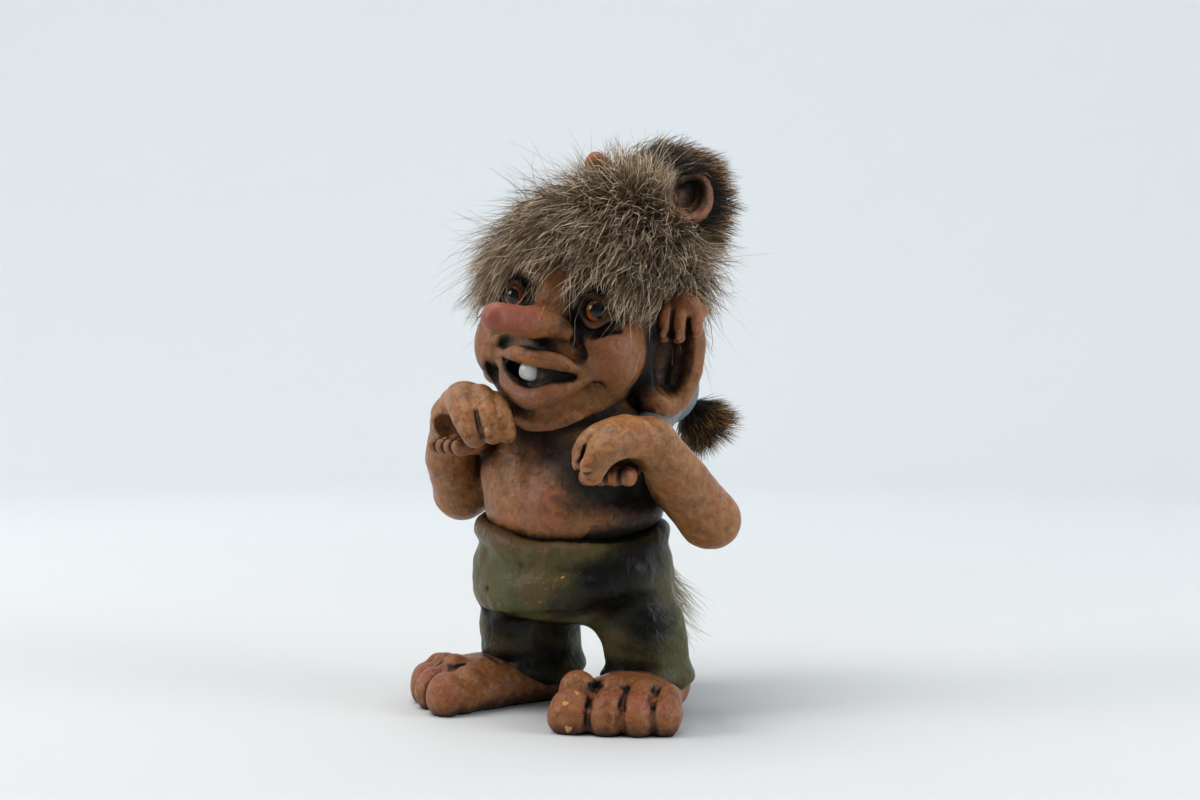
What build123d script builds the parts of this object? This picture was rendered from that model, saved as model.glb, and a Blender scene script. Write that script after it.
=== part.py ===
from build123d import *
import os

# A grown troll that carries a small troll on its back.
# Millimetres, +Z up, faces -Y, its left hand is on +X. The figure is worked out about
# its body axis and at the end moved so that its box is centred over the origin.

# Fits shared by all pieces
glue_gap = 0.3
overrun = 2.0
skin = 3.0
pin_gap = 0.08

# Grown troll's feet
foot_length = 58.0
foot_width = 39.0
foot_height = 22.0
toe_height = 15.0
toe_length = 16.0
ankle_radius = 8.5
ankle_height = 24.0
left_foot_out = 22.0
right_foot_out = 19.0
feet_back = 3.0
left_foot_turn = 15.0
right_foot_turn = 31.0

# Trousers
hips_width = 70.0
hips_depth = 60.0
hips_height = 41.0
waist_width = 65.0
waist_depth = 57.0
waist_height = 59.0
rim_radius = 2.6
rim_tilt = 9.0
rim_lean = 6.0
leg_width = 30.0
leg_depth = 34.0
left_leg_out = 25.0
right_leg_out = 21.0
hem_height = 7.6
body_out = -1.5
body_back = -3.0

# Torso
torso_width = 60.0
torso_depth = 54.0
torso_height = 44.0
navel_radius = 1.4
navel_height = 59.5

# Head
head_width = 60.0
head_depth = 58.0
head_height = 79.0
head_up = 127.5
head_back = 1.5
head_turn = -5.0
head_lean = 10.0
face_out = 2.8
nose_length = 34.0
nose_radius = 6.3
nose_root_radius = 9.5
mouth_width = 27.0
mouth_opening = 7.0
lip_radius = 3.2
ear_height = 37.0
ear_depth = 21.0
ear_thickness = 8.0
ear_turn = 35.0
ear_rim = 3.2
tooth_width = 4.6
tooth_height = 6.0
tooth_depth = 3.0

# Glass eyes, large for the grown troll and small for the child
eye_radius = 4.6
eye_wire_radius = 0.6
eye_wire_length = 8.0
child_eye_radius = 2.6
child_eye_wire_length = 5.0

# Arms, bone by bone
upper_arm_length = 31.0
forearm_length = 38.5
palm_length = 14.0
finger_length = 11.0
finger_count = 3
shoulder_height = 81.0
shoulder_radius = 10.0
elbow_radius = 8.6
wrist_radius = 6.8
palm_radius = 6.4
finger_radius = 3.4
peg_radius = 4.0
peg_length = 8.0

# Hair
hair_length = 11.0
hair_back = 4.0
hair_line = 8.0
hair_line_tilt = 13.0
lock_radius = 5.0
lock_length = 15.0
lock_spread = 21.0
lock_count = 9
child_hair_length = 7.0
child_hair_line = -3.0
child_hair_line_tilt = 50.0

# Tails: each hangs on a wire pin across a slot and ends in a tuft of fur
tail_radius = 2.8
tail_eye_radius = 3.4
tail_eye_width = 5.0
tail_slot_room = 1.4
tail_pin_radius = 0.8
tail_pin_length = 12.0
tail_out = 3.0
tail_height = 54.0
tail_length = 20.0
tuft_radius = 7.5
tuft_length = 26.0
child_tail_height = 98.0
child_tail_length = 9.0
child_tuft_radius = 10.5
child_tuft_length = 29.0

# Dowel between torso and head, and the child's smaller one
dowel_radius = 5.0
dowel_length = 34.0
child_dowel_radius = 2.5
child_dowel_length = 18.0

# Child
child_head_width = 33.0
child_head_depth = 34.0
child_head_height = 36.0
child_head_out = 1.5
child_head_back = 41.0
child_head_up = 165.0
child_head_tilt = 25.0
child_head_turn = 10.0
child_nose_length = 19.0
child_nose_radius = 3.4
child_ear_height = 18.0
child_ear_depth = 16.0
child_ear_thickness = 6.0
child_ear_rim = 2.0
child_torso_width = 28.0
child_torso_depth = 24.0
child_torso_height = 46.0
child_hips_width = 34.0
child_hips_depth = 29.0
child_hips_height = 28.0
child_out = 1.5
child_back = 41.0
child_seat_up = 103.0
child_thigh_height = 92.0
child_left_foot_out = 29.0
child_left_foot_back = -28.0
child_left_foot_up = 78.5
child_left_foot_turn = 14.0
child_right_foot_out = -25.0
child_right_foot_back = -25.0
child_right_foot_up = 87.0
child_right_foot_turn = -17.0
child_arm_radius = 4.4
child_hand_radius = 4.6
child_finger_radius = 1.9
child_finger_length = 8.0
child_finger_count = 3
child_shoulder_height = 139.0
child_leg_radius = 6.0
child_foot_length = 20.0
child_foot_width = 17.0
child_foot_height = 10.0


# A limb is a hair thinner than the balls at its ends, so that they cut each other cleanly
neck_share = 0.985


pole_turns = {"X": (0, 90, 0), "Y": (90, 0, 0), "Z": (0, 0, 0)}


def egg(centre, radii, turn=(0, 0, 0), pole="Z"):
    """A ball with its poles on one axis, scaled to three radii, turned, then set at its centre."""
    ball = Location((0, 0, 0), pole_turns[pole]) * Sphere(1)
    return Location(centre, turn) * scale(ball, radii)


def joined(shapes):
    """One piece from several that overlap, fused in one step."""
    return shapes[0].fuse(*shapes[1:])


def share_of(size, share):
    return tuple(s * f for s, f in zip(size, share))


def forms(size, shares):
    """Eggs whose centres and radii are shares of one piece's half sizes, fused together."""
    eggs = [egg(share_of(size, centre), share_of(size, radii)) for centre, radii in shares]
    return joined(eggs) if len(eggs) > 1 else eggs[0]


def stack(size, row_shares):
    """A rounded body lofted upward through ellipses that are shares of its half sizes."""
    rows = []
    for up_share, back_share, width_share, depth_share in row_shares:
        centre = (0, size[1] * back_share, size[2] * up_share)
        rows.append(Plane(origin=centre) * Ellipse(size[0] * width_share, size[1] * depth_share))
    return loft(rows)


def limb(points, radii, start_ball=True):
    """A round limb that swells and tapers through its points, with ball ends."""
    points = [Vector(*p) for p in points]
    sections = []
    for i, point in enumerate(points):
        ahead = points[min(i + 1, len(points) - 1)] - points[max(i - 1, 0)]
        sections.append(Plane(origin=point, z_dir=ahead.normalized()) * Circle(radii[i] * neck_share))
    balls = [Location(points[end]) * Sphere(radii[end]) for end in ((0, -1) if start_ball else (-1,))]
    return joined([loft(sections), *balls])


def chain(start, lengths, direction_shares):
    """Places reached from a start by steps of given lengths along given directions."""
    places = [Vector(*start)]
    for length, share in zip(lengths, direction_shares):
        places.append(places[-1] + Vector(*share).normalized() * length)
    return places


def half(width, depth, height):
    return (width / 2, depth / 2, height / 2)


pieces = {}


def keep(name, shape, *cutters):
    """Cut a piece by the pieces that it is seated on, and keep its one main solid."""
    whole = shape.cut(*cutters) if cutters else shape
    solids = whole.solids() if hasattr(whole, "solids") else ShapeList(whole).solids()
    pieces[name] = sorted(solids, key=lambda s: s.volume)[-1]
    return pieces[name]


# Feet: a heel, an instep, a ball and four toes, cut flat at the floor
foot_form_shares = [
    ((0, 0.00, 0.75), (0.66, 0.42, 0.85)),
    ((-0.03, -0.50, 0.60), (0.68, 0.62, 0.62)),
    ((0.02, -1.02, 0.50), (0.90, 0.50, 0.70)),
]
toe_place_shares = (-0.68, -0.12, 0.36, 0.75)
toe_width_shares = (0.37, 0.32, 0.29, 0.25)
toe_forward_shares = (1.46, 1.44, 1.36, 1.24)
toe_height_shares = (1.00, 0.97, 0.90, 0.80)


def foot(side, out, turn):
    size = half(foot_width, foot_length, foot_height)
    shapes = [egg(share_of(size, place), share_of(size, radii)) for place, radii in foot_form_shares]
    row = zip(toe_place_shares, toe_width_shares, toe_forward_shares, toe_height_shares)
    for place_share, width_share, forward_share, height_share in row:
        centre = (size[0] * place_share, -size[1] * forward_share, toe_height * 0.42)
        radii = (size[0] * width_share, toe_length / 2, toe_height * 0.58 * height_share)
        shapes.append(egg(centre, radii))
    shapes.append(Cylinder(ankle_radius, ankle_height, align=(Align.CENTER, Align.CENTER, Align.MIN)))
    below = Box(foot_length * 2, foot_length * 3, foot_height)
    shape = joined(shapes).cut(Location((0, 0, -foot_height / 2)) * below)
    if side < 0:
        shape = mirror(shape, about=Plane.YZ)
    return Location((side * out, feet_back, 0), (0, 0, side * turn)) * shape


left_foot = keep("left_foot", foot(1, left_foot_out, left_foot_turn))
right_foot = keep("right_foot", foot(-1, right_foot_out, right_foot_turn))

# Trousers: hips, a waist with a rolled rim and two baggy legs
leg_section_shares = [(0.72, -0.1, 1.00), (0.50, 0.0, 1.02), (0.30, 0.0, 0.98), (0.00, 0.05, 1.04)]


def leg(side, out):
    rows = []
    top = hips_height
    for up_share, back_share, width_share in leg_section_shares:
        up = hem_height + (top - hem_height) * up_share
        inward = out - (out - leg_width / 2) * up_share * up_share
        centre = (body_out + side * inward, leg_depth * back_share, up)
        rows.append(Plane(origin=centre) * Ellipse(leg_width / 2 * width_share, leg_depth / 2 * width_share))
    return loft(rows)


rim_centre = (body_out, body_back, waist_height)
rim_at = Location(rim_centre, (rim_tilt, rim_lean, 0))
hips_half = (hips_width / 2, hips_depth / 2, hips_height / 2)
hips_row_shares = [(-0.94, 0.30), (-0.80, 0.60), (-0.55, 0.84), (-0.25, 0.97), (0.05, 1.00), (0.45, 0.985)]
hips_sections = []
for up_share, width_share in hips_row_shares:
    centre = (body_out, body_back / 2, hips_height + hips_half[2] * up_share)
    row = Ellipse(hips_half[0] * width_share, hips_half[1] * width_share)
    hips_sections.append(Plane(origin=centre) * row)
hips_sections.append(Plane(rim_at) * Ellipse(waist_width / 2, waist_depth / 2))
rim_ring = Torus(waist_width / 2 - rim_radius / 2, rim_radius)
rim = rim_at * scale(rim_ring, (1, waist_depth / waist_width, 1))
trousers_form = joined([loft(hips_sections), leg(1, left_leg_out), leg(-1, right_leg_out), rim])

# Foam filling of the trousers, a smaller copy of the hips
trouser_core = egg(
    (body_out, body_back / 2, hips_height),
    (hips_width / 2 - skin * 2, hips_depth / 2 - skin * 2, hips_height / 2 - skin * 2),
)

# Torso: belly, chest, shoulders and neck
torso_row_shares = [
    (-1.30, 0.00, 0.55, 0.55),
    (-1.05, -0.04, 0.86, 0.88),
    (-0.70, -0.07, 0.99, 1.00),
    (-0.35, -0.05, 1.00, 0.98),
    (0.10, 0.02, 0.94, 0.87),
    (0.50, 0.08, 0.84, 0.78),
    (0.85, 0.13, 0.66, 0.68),
    (1.15, 0.15, 0.56, 0.60),
    (1.42, 0.15, 0.50, 0.54),
]
shoulder_form_shares = [
    ((-0.56, 0.22, 0.00), (0.44, 0.44, 0.42)),
    ((0.56, 0.22, 0.00), (0.44, 0.44, 0.42)),
]
torso_up = waist_height + torso_height / 2
torso_at = Location((body_out, body_back, torso_up))
torso_size = half(torso_width, torso_depth, torso_height)
shoulder_eggs = []
for place_share, radii_share in shoulder_form_shares:
    shoulder_eggs.append(egg(share_of(torso_size, place_share), share_of(torso_size, radii_share)))
torso_form = torso_at * joined([stack(torso_size, torso_row_shares), *shoulder_eggs])
navel_at = (body_out, body_back - torso_depth / 2, navel_height)
navel = egg(navel_at, (navel_radius, navel_radius * 2, navel_radius), pole="Y")
dowel_up = torso_up + torso_height / 4
dowel_at = Location((body_out, body_back + torso_depth / 10, dowel_up))
neck_dowel = dowel_at * Cylinder(dowel_radius, dowel_length, align=(Align.CENTER, Align.CENTER, Align.MIN))

# Head, in its own frame: eggs for skull, face, cheeks, muzzle and chin
head_row_shares = [
    (-1.00, -0.40, 0.16, 0.14),
    (-0.93, -0.39, 0.38, 0.34),
    (-0.80, -0.35, 0.58, 0.54),
    (-0.60, -0.22, 0.74, 0.76),
    (-0.30, -0.07, 0.94, 0.91),
    (0.00, 0.00, 0.98, 0.96),
    (0.30, 0.05, 0.97, 0.98),
    (0.65, 0.05, 0.84, 0.85),
    (0.85, 0.05, 0.61, 0.62),
    (0.96, 0.05, 0.33, 0.33),
]
face_form_shares = [
    ((0.58, -0.54, -0.26), (0.44, 0.46, 0.34)),
    ((-0.60, -0.60, -0.28), (0.46, 0.46, 0.35)),
    ((0.05, -0.66, -0.46), (0.54, 0.40, 0.36)),
    ((0.05, -0.60, -0.82), (0.42, 0.33, 0.22)),
]
skull_share = ((0, 0.05, 0.30), (0.97, 0.98, 0.70))
head_size = half(head_width, head_depth, head_height)
head_at = (
    Location((body_out, head_back, head_up))
    * Location((0, 0, 0), (0, 0, -head_turn))
    * Location((0, 0, 0), (0, head_lean, 0))
)
nose_place_shares = (0.10, 0.45, 0.80, 1.00)
nose_drop_shares = (0.00, 0.05, 0.10, 0.16)
nose_root = (face_out, -head_size[1] * 0.74, -head_size[2] * 0.04)
eye_place_share = (0.48, -0.80, 0.09)
mouth_place_share = (0, -1.08, -0.43)
ear_place_share = (1.04, 0.17, -0.24)


def nose():
    points = []
    for along_share, drop_share in zip(nose_place_shares, nose_drop_shares):
        drop = nose_radius * drop_share
        points.append((face_out, nose_root[1] - nose_length * along_share, nose_root[2] - drop))
    middle = (nose_root_radius + nose_radius) / 2
    return limb(points, (nose_root_radius, middle, nose_radius, nose_radius))


def ear(side, size, centre, hollow):
    """A cupped ear that flares outward and back, hollowed on its front."""
    shell = egg((0, 0, 0), size, pole="X")
    shell = shell - egg((size[0] * 0.35, -size[1] * 0.45, 0), hollow, pole="X")
    shape = Location(centre, (0, 0, 0)) * Location((0, 0, 0), (0, 0, -ear_turn)) * shell
    return shape if side > 0 else mirror(shape, about=Plane.YZ)


def eye_place(side):
    eye_at = share_of(head_size, eye_place_share)
    return (face_out + side * eye_at[0], eye_at[1], eye_at[2])


mouth_at = (face_out, *share_of(head_size, mouth_place_share)[1:])


def head_form():
    shapes = [stack(head_size, head_row_shares), nose()]
    for place_share, radii_share in face_form_shares:
        shapes.append(egg(share_of(head_size, place_share), share_of(head_size, radii_share)))
    lip_up = mouth_opening / 2 + lip_radius / 2
    lip_back = mouth_at[1] + lip_radius * 1.2
    lip_size = (mouth_width / 2, lip_radius * 1.6, lip_radius * 1.2)
    shapes += [egg((face_out, lip_back, mouth_at[2] + up), lip_size) for up in (lip_up, -lip_up)]
    mouth_size = (mouth_width / 2 - lip_radius, head_depth / 6, mouth_opening / 2)
    cuts = [egg(mouth_at, mouth_size, pole="Y")]
    ear_size = (ear_thickness, ear_depth / 2, ear_height / 2)
    ear_hollow = (ear_thickness, ear_depth / 2 - ear_rim, ear_height / 2 - ear_rim)
    for side in (1, -1):
        cuts.append(egg(eye_place(side), (eye_radius + glue_gap,) * 3, pole="Y"))
        shapes.append(ear(side, ear_size, share_of(head_size, ear_place_share), ear_hollow))
    return joined(shapes).cut(*cuts)


head_shape = head_at * head_form()
head_core = head_at * egg((0, head_size[1] * 0.12, head_size[2] * 0.2), tuple(s * 0.62 for s in head_size))
keep("trouser_core", trouser_core)
keep("neck_dowel", neck_dowel)
keep("head_core", head_core, neck_dowel)
eye_wires = []
for side, name in ((1, "left_eye"), (-1, "right_eye")):
    centre = eye_place(side)
    wire_start = (centre[0], centre[1] + eye_radius + eye_wire_length / 2, centre[2])
    wire = Location(wire_start, (90, 0, 0)) * Cylinder(eye_wire_radius, eye_wire_length)
    keep(name, head_at * egg(centre, (eye_radius,) * 3))
    eye_wires.append(keep(name + "_wire", head_at * wire, head_core))
tooth_at = (mouth_at[0], mouth_at[1] + tooth_depth, mouth_at[2] + mouth_opening / 2 - tooth_height / 3)
tooth_form = head_at * egg(tooth_at, (tooth_width / 2, tooth_depth, tooth_height / 2))
head = keep("head", head_shape, head_core, neck_dowel, *eye_wires)
keep("tooth", tooth_form, head)
torso = keep("torso", torso_form, trouser_core, neck_dowel, head_shape, navel)
trousers = keep("trousers", trousers_form, trouser_core, torso, left_foot, right_foot)
print("head, torso, trousers and feet formed")


# Arms: upper arm, forearm, palm and three fingers that curl over the child's foot
left_arm_direction_shares = [(25, -2, -20), (-7, -27, 27), (-8, -13, 0)]
right_arm_direction_shares = [(-24, -7, -15), (14, -20, 29), (13, -10, 4)]
left_finger_share = (-6, -4, -10)
right_finger_share = (6, -6, -13)
left_finger_row_share = (-0.25, 1.0, 0.0)
right_finger_row_share = (1.0, 0.15, -0.1)


def arm(side, direction_shares, finger_share, row_share):
    lengths = (upper_arm_length, forearm_length, palm_length)
    shoulder = (body_out + side * (torso_width / 2 - shoulder_radius * 0.7), feet_back, shoulder_height)
    at_shoulder, elbow, wrist, palm_end = chain(shoulder, lengths, direction_shares)
    upper_radii = (shoulder_radius, elbow_radius, elbow_radius)
    fore_radii = (elbow_radius, (elbow_radius + wrist_radius) / 2, wrist_radius)
    bones = [
        limb((at_shoulder, (at_shoulder + elbow) * 0.5, elbow), upper_radii),
        limb((elbow, (elbow + wrist) * 0.5, wrist), fore_radii, False),
        limb((wrist, palm_end), (wrist_radius, palm_radius), False),
    ]
    row = Vector(*row_share).normalized() * finger_radius * 1.7
    bend = Vector(*finger_share).normalized() * finger_length
    onward = (palm_end - wrist).normalized() * finger_radius
    for step in range(finger_count):
        root = palm_end + row * (step - 1)
        knuckle = root + onward
        bones.append(limb((root, knuckle), (finger_radius, finger_radius)))
        bones.append(limb((knuckle, knuckle + bend), (finger_radius, finger_radius * 0.85), False))
    return joined(bones)


left_arm_form = arm(1, left_arm_direction_shares, left_finger_share, left_finger_row_share)
right_arm_form = arm(-1, right_arm_direction_shares, right_finger_share, right_finger_row_share)
left_arm = keep("left_arm", left_arm_form, torso, trousers, head_shape)
right_arm = keep("right_arm", right_arm_form, torso, trousers, head_shape)
print("arms formed")

# Child, seated behind the grown troll's neck with its legs over the shoulders
child_hips_row_shares = [
    (-0.97, 0.00, 0.26, 0.26),
    (-0.82, 0.00, 0.57, 0.57),
    (-0.50, 0.00, 0.87, 0.87),
    (-0.10, 0.00, 1.00, 1.00),
    (0.30, 0.00, 0.96, 0.96),
    (0.65, 0.00, 0.80, 0.82),
    (0.90, 0.00, 0.62, 0.66),
]
child_torso_form_shares = [
    ((0, 0, -0.20), (0.95, 1.00, 0.80)),
    ((0, 0, 0.40), (0.90, 0.85, 0.60)),
]
child_at = Location((child_out, child_back, child_seat_up))
child_hips_size = half(child_hips_width, child_hips_depth, child_hips_height)
child_torso_size = half(child_torso_width, child_torso_depth, child_torso_height)
child_torso_up = child_hips_height / 2 + child_torso_height / 2 - overrun * 2
child_hips_form = child_at * stack(child_hips_size, child_hips_row_shares)
child_torso_at = child_at * Location((0, 0, child_torso_up))
child_torso_form = child_torso_at * forms(child_torso_size, child_torso_form_shares)


def child_leg_points(side, foot_at):
    """Hip, thigh over the shoulder, knee in front and ankle."""
    hip_back = child_back - child_hips_depth * 0.2
    hip = Vector(child_out + side * child_hips_width * 0.28, hip_back, child_seat_up)
    over_out = torso_width / 2 - child_leg_radius * 0.6
    over = Vector(body_out + side * over_out, feet_back, child_thigh_height)
    ankle = Vector(*foot_at) + Vector(0, child_foot_length * 0.40, child_foot_height * 0.4)
    return hip, (hip + over) * 0.5, over, (over + ankle) * 0.5, ankle


child_foot_form_shares = [
    ((0, 0.55, 0.15), (0.60, 0.45, 0.85)),
    ((0, -0.10, 0.00), (0.85, 0.65, 0.75)),
]
child_toe_place_shares = (-0.72, -0.24, 0.24, 0.70)


def child_foot(foot_at, turn):
    size = half(child_foot_width, child_foot_length, child_foot_height)
    shapes = []
    for place, radii in child_foot_form_shares:
        shapes.append(egg(share_of(size, place), share_of(size, radii), pole="Y"))
    for place_share in child_toe_place_shares:
        centre = (size[0] * place_share, -size[1] * 0.70, -size[2] * 0.2)
        shapes.append(egg(centre, (size[0] * 0.29, size[1] * 0.40, size[2] * 0.60), pole="Y"))
    return Location(foot_at, (0, 0, turn)) * joined(shapes)


left_child_foot_at = (child_left_foot_out, child_left_foot_back, child_left_foot_up)
right_child_foot_at = (child_right_foot_out, child_right_foot_back, child_right_foot_up)
leg_radii = [child_leg_radius * share for share in (1.0, 1.0, 0.85, 0.8, 0.7)]
left_leg_form = limb(child_leg_points(1, left_child_foot_at), leg_radii)
right_leg_form = limb(child_leg_points(-1, right_child_foot_at), leg_radii)
left_child_foot_form = child_foot(left_child_foot_at, child_left_foot_turn)
right_child_foot_form = child_foot(right_child_foot_at, child_right_foot_turn)
grown = (torso, head_shape, left_arm, right_arm, trousers)
keep("child_left_foot", left_child_foot_form, *grown)
keep("child_right_foot", right_child_foot_form, *grown)
trousers_of_child = joined([child_hips_form, left_leg_form, right_leg_form])
child_feet = (pieces["child_left_foot"], pieces["child_right_foot"])
child_trousers = keep("child_trousers", trousers_of_child, *grown, *child_feet)
print("child legs formed")

# Child's head, tilted back to look over the hair in front of it
child_head_size = half(child_head_width, child_head_depth, child_head_height)
child_head_at = (
    Location((child_head_out, child_head_back, child_head_up))
    * Location((0, 0, 0), (0, 0, -child_head_turn))
    * Location((0, 0, 0), (-child_head_tilt, 0, 0))
)
child_head_row_shares = [
    (-0.98, -0.25, 0.30, 0.28),
    (-0.80, -0.25, 0.62, 0.60),
    (-0.50, -0.15, 0.85, 0.82),
    (-0.15, 0.00, 0.98, 0.95),
    (0.20, 0.05, 1.00, 0.97),
    (0.60, 0.05, 0.84, 0.82),
    (0.85, 0.05, 0.58, 0.57),
    (0.98, 0.05, 0.27, 0.27),
]
child_face_form_shares = [
    ((0.45, -0.55, -0.22), (0.42, 0.40, 0.32)),
    ((-0.45, -0.55, -0.22), (0.42, 0.40, 0.32)),
    ((0, -0.75, -0.45), (0.50, 0.35, 0.28)),
]
child_skull_share = ((0, 0.05, 0.10), (1.00, 0.98, 0.92))
child_eye_place_share = (0.42, -0.86, 0.12)
child_ear_place_share = (1.10, 0.20, -0.02)
child_nose_start = -child_head_size[1] * 0.78


def child_head_form():
    size = child_head_size
    points = [(0, child_nose_start - child_nose_length * share, 0) for share in (0, 0.5, 1)]
    nose_limb = limb(points, (child_nose_radius * 1.4, child_nose_radius * 1.1, child_nose_radius))
    shapes = [stack(size, child_head_row_shares), nose_limb]
    for place_share, radii_share in child_face_form_shares:
        shapes.append(egg(share_of(size, place_share), share_of(size, radii_share)))
    ear_size = (child_ear_thickness, child_ear_depth / 2, child_ear_height / 2)
    hollow = (ear_size[0], ear_size[1] - child_ear_rim, ear_size[2] - child_ear_rim)
    eye = share_of(size, child_eye_place_share)
    sockets = []
    for side in (1, -1):
        sockets.append(egg((side * eye[0], eye[1], eye[2]), (child_eye_radius + glue_gap,) * 3, pole="Y"))
        shapes.append(ear(side, ear_size, share_of(size, child_ear_place_share), hollow))
    return joined(shapes).cut(*sockets)


child_head_shape = child_head_at * child_head_form()
child_neck_at = Location((child_head_out, child_head_back, child_head_up - child_head_height / 3))
child_dowel = child_neck_at * Cylinder(child_dowel_radius, child_dowel_length)
keep("child_neck_dowel", child_dowel)
child_eye_parts = []
for side, name in ((1, "child_left_eye"), (-1, "child_right_eye")):
    eye = share_of(child_head_size, child_eye_place_share)
    ball = child_head_at * egg((side * eye[0], eye[1], eye[2]), (child_eye_radius,) * 3)
    child_eye_parts.append(keep(name, ball))
    wire_at = (side * eye[0], eye[1] + child_eye_radius + child_eye_wire_length / 2, eye[2])
    wire = Location(wire_at, (90, 0, 0)) * Cylinder(eye_wire_radius, child_eye_wire_length)
    child_eye_parts.append(keep(name + "_wire", child_head_at * wire))
child_head = keep("child_head", child_head_shape, child_dowel, head_shape, *child_eye_parts[1::2])
keep("child_torso", child_torso_form, child_dowel, child_head_shape, child_trousers, head_shape, torso)
print("child head formed")


# Child's arms: each hand grips the top of one of the grown troll's ears with three fingers
def child_arm(side):
    ear_at = share_of(head_size, ear_place_share)
    grip_up = ear_at[2] + ear_height / 2 * 0.62
    grip = (head_at * Location((side * ear_at[0], ear_at[1] - ear_thickness / 3, grip_up))).position
    shoulder = Vector(child_out + side * child_torso_width * 0.36, child_back, child_shoulder_height)
    elbow = (shoulder + grip) * 0.5 + Vector(side * child_arm_radius, 0, -child_arm_radius)
    radii = (child_arm_radius * 1.15, child_arm_radius, child_arm_radius * 0.85)
    bones = [limb((shoulder, elbow, grip), radii), Location(grip) * Sphere(child_hand_radius)]
    for step in range(child_finger_count):
        row = (step - 1) * child_finger_radius * 1.8
        root = grip + Vector(row, -child_hand_radius * 0.5, child_hand_radius * 0.4)
        tip = root + Vector(0, -child_finger_radius, -child_finger_length)
        bones.append(limb((root, tip), (child_finger_radius, child_finger_radius)))
    return joined(bones)


child_torso = pieces["child_torso"]
child_arms = [child_arm(1), child_arm(-1)]
keep("child_left_arm", child_arms[0], head_shape, child_torso, child_head_shape)
keep("child_right_arm", child_arms[1], head_shape, child_torso, child_head_shape)
print("child arms formed")


# Hair: a thick pelt over each skull, cut off along the hair line
def pelt(size, skull_share, length, back, line, line_tilt):
    skull_at = share_of(size, skull_share[0])
    centre = (skull_at[0], skull_at[1] + back, skull_at[2])
    radii = tuple(r + length for r in share_of(size, skull_share[1]))
    reach = (size[2] + length) * 4
    line_at = Location((0, 0, line), (-line_tilt, 0, 0))
    below = line_at * Location((0, 0, -reach / 2)) * Box(reach, reach, reach)
    return egg(centre, radii) - below


lock_length_shares = (0.72, 1.0)
lock_drop_shares = (0.55, 1.3)
lock_radius_shares = (1.0, 0.75, 0.2)


def fringe():
    """Locks that hang over the brow and temples, thick where they leave the pelt."""
    locks = []
    reach = [r + hair_length * 0.35 for r in share_of(head_size, skull_share[1])]
    radii = [lock_radius * share for share in lock_radius_shares]
    for number in range(lock_count):
        turn = Rotation(0, 0, lock_spread * (number - (lock_count - 1) / 2))
        out = (turn * Location((0, -1, 0))).position
        root_up = hair_line + lock_radius * 1.6 - reach[1] * 0.2 * out.Y
        places = [Vector(out.X * reach[0], out.Y * reach[1] + hair_back, root_up)]
        for drop_share in lock_drop_shares:
            step = lock_length / 2 * lock_length_shares[number % 2]
            ahead = Vector(out.X, out.Y, -drop_share).normalized()
            places.append(places[-1] + ahead * step)
        locks.append(limb(places, radii))
    return locks


skull_pelt = pelt(head_size, skull_share, hair_length, hair_back, hair_line, hair_line_tilt)
hair_form = head_at * joined([skull_pelt, *fringe()])
child_pelt = pelt(
    child_head_size, child_skull_share, child_hair_length, 0, child_hair_line, child_hair_line_tilt
)
child_hair_form = child_head_at * child_pelt
hair = keep("hair", hair_form, head_shape, child_torso, child_head_shape, *child_arms, *child_eye_parts)
keep("child_hair", child_hair_form, child_head_shape, head_shape, hair, child_torso, *child_eye_parts)
print("hair formed")


# Tails
def tail_set(name, carrier_name, root_at, slot_depth, stem_points, tuft_centre, tuft_size, tuft_turn):
    """Slot and pin in the carrier, a stem with an eye on the pin, and a tuft round its end."""
    slot_width = tail_eye_width + 2 * glue_gap
    slot_height = 2 * (tail_eye_radius + tail_slot_room)
    slot = Location(root_at) * Location((0, tail_eye_radius, 0)) * Box(slot_width, slot_depth, slot_height)
    across = Location(root_at, (0, 90, 0))
    pin = across * Cylinder(tail_pin_radius, tail_pin_length)
    keep(name + "_pin", pin)
    keep(carrier_name, pieces[carrier_name], slot, pin)
    eye = across * Cylinder(tail_eye_radius, tail_eye_width)
    bore = across * Cylinder(tail_pin_radius + pin_gap, tail_eye_width * 2)
    stem = limb((root_at, *stem_points), (tail_radius * 0.8, tail_radius, tail_radius * 0.8), False)
    stem = keep(name, joined([eye, stem]), bore)
    keep(name + "_tuft", egg(tuft_centre, tuft_size, tuft_turn), stem)


tail_root = Vector(tail_out, body_back + waist_depth / 2 - pin_gap, tail_height)
tail_bend = tail_root + Vector(0, tail_length * 0.40, -tail_length * 0.12)
tail_end = tail_root + Vector(0, tail_length * 0.72, -tail_length * 0.65)
tuft_at = tail_end + Vector(0, tuft_radius * 0.3, -tuft_length * 0.36)
tuft_size = (tuft_radius, tuft_radius, tuft_length / 2)
tail_slot_depth = 4 * tail_eye_radius
tail_set("tail", "trousers", tail_root, tail_slot_depth, (tail_bend, tail_end), tuft_at, tuft_size, (5, 0, 0))
child_root_back = child_back + child_hips_depth / 2 - tail_eye_radius / 2
child_tail_root = Vector(child_out, child_root_back, child_tail_height)
child_bend = child_tail_root + Vector(child_tail_length * 0.1, child_tail_length * 0.6, 0)
child_end = child_tail_root + Vector(child_tail_length * 0.45, child_tail_length, -child_tail_length * 0.35)
child_tuft_step = (child_tuft_radius * 0.25, child_tuft_radius * 0.35, -child_tuft_length * 0.2)
child_tuft_at = child_end + Vector(*child_tuft_step)
child_tuft_size = (child_tuft_radius, child_tuft_radius, child_tuft_length / 2)
tail_set(
    "child_tail", "child_trousers", child_tail_root, tail_slot_depth, (child_bend, child_end),
    child_tuft_at, child_tuft_size, (20, -10, 0),
)

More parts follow.
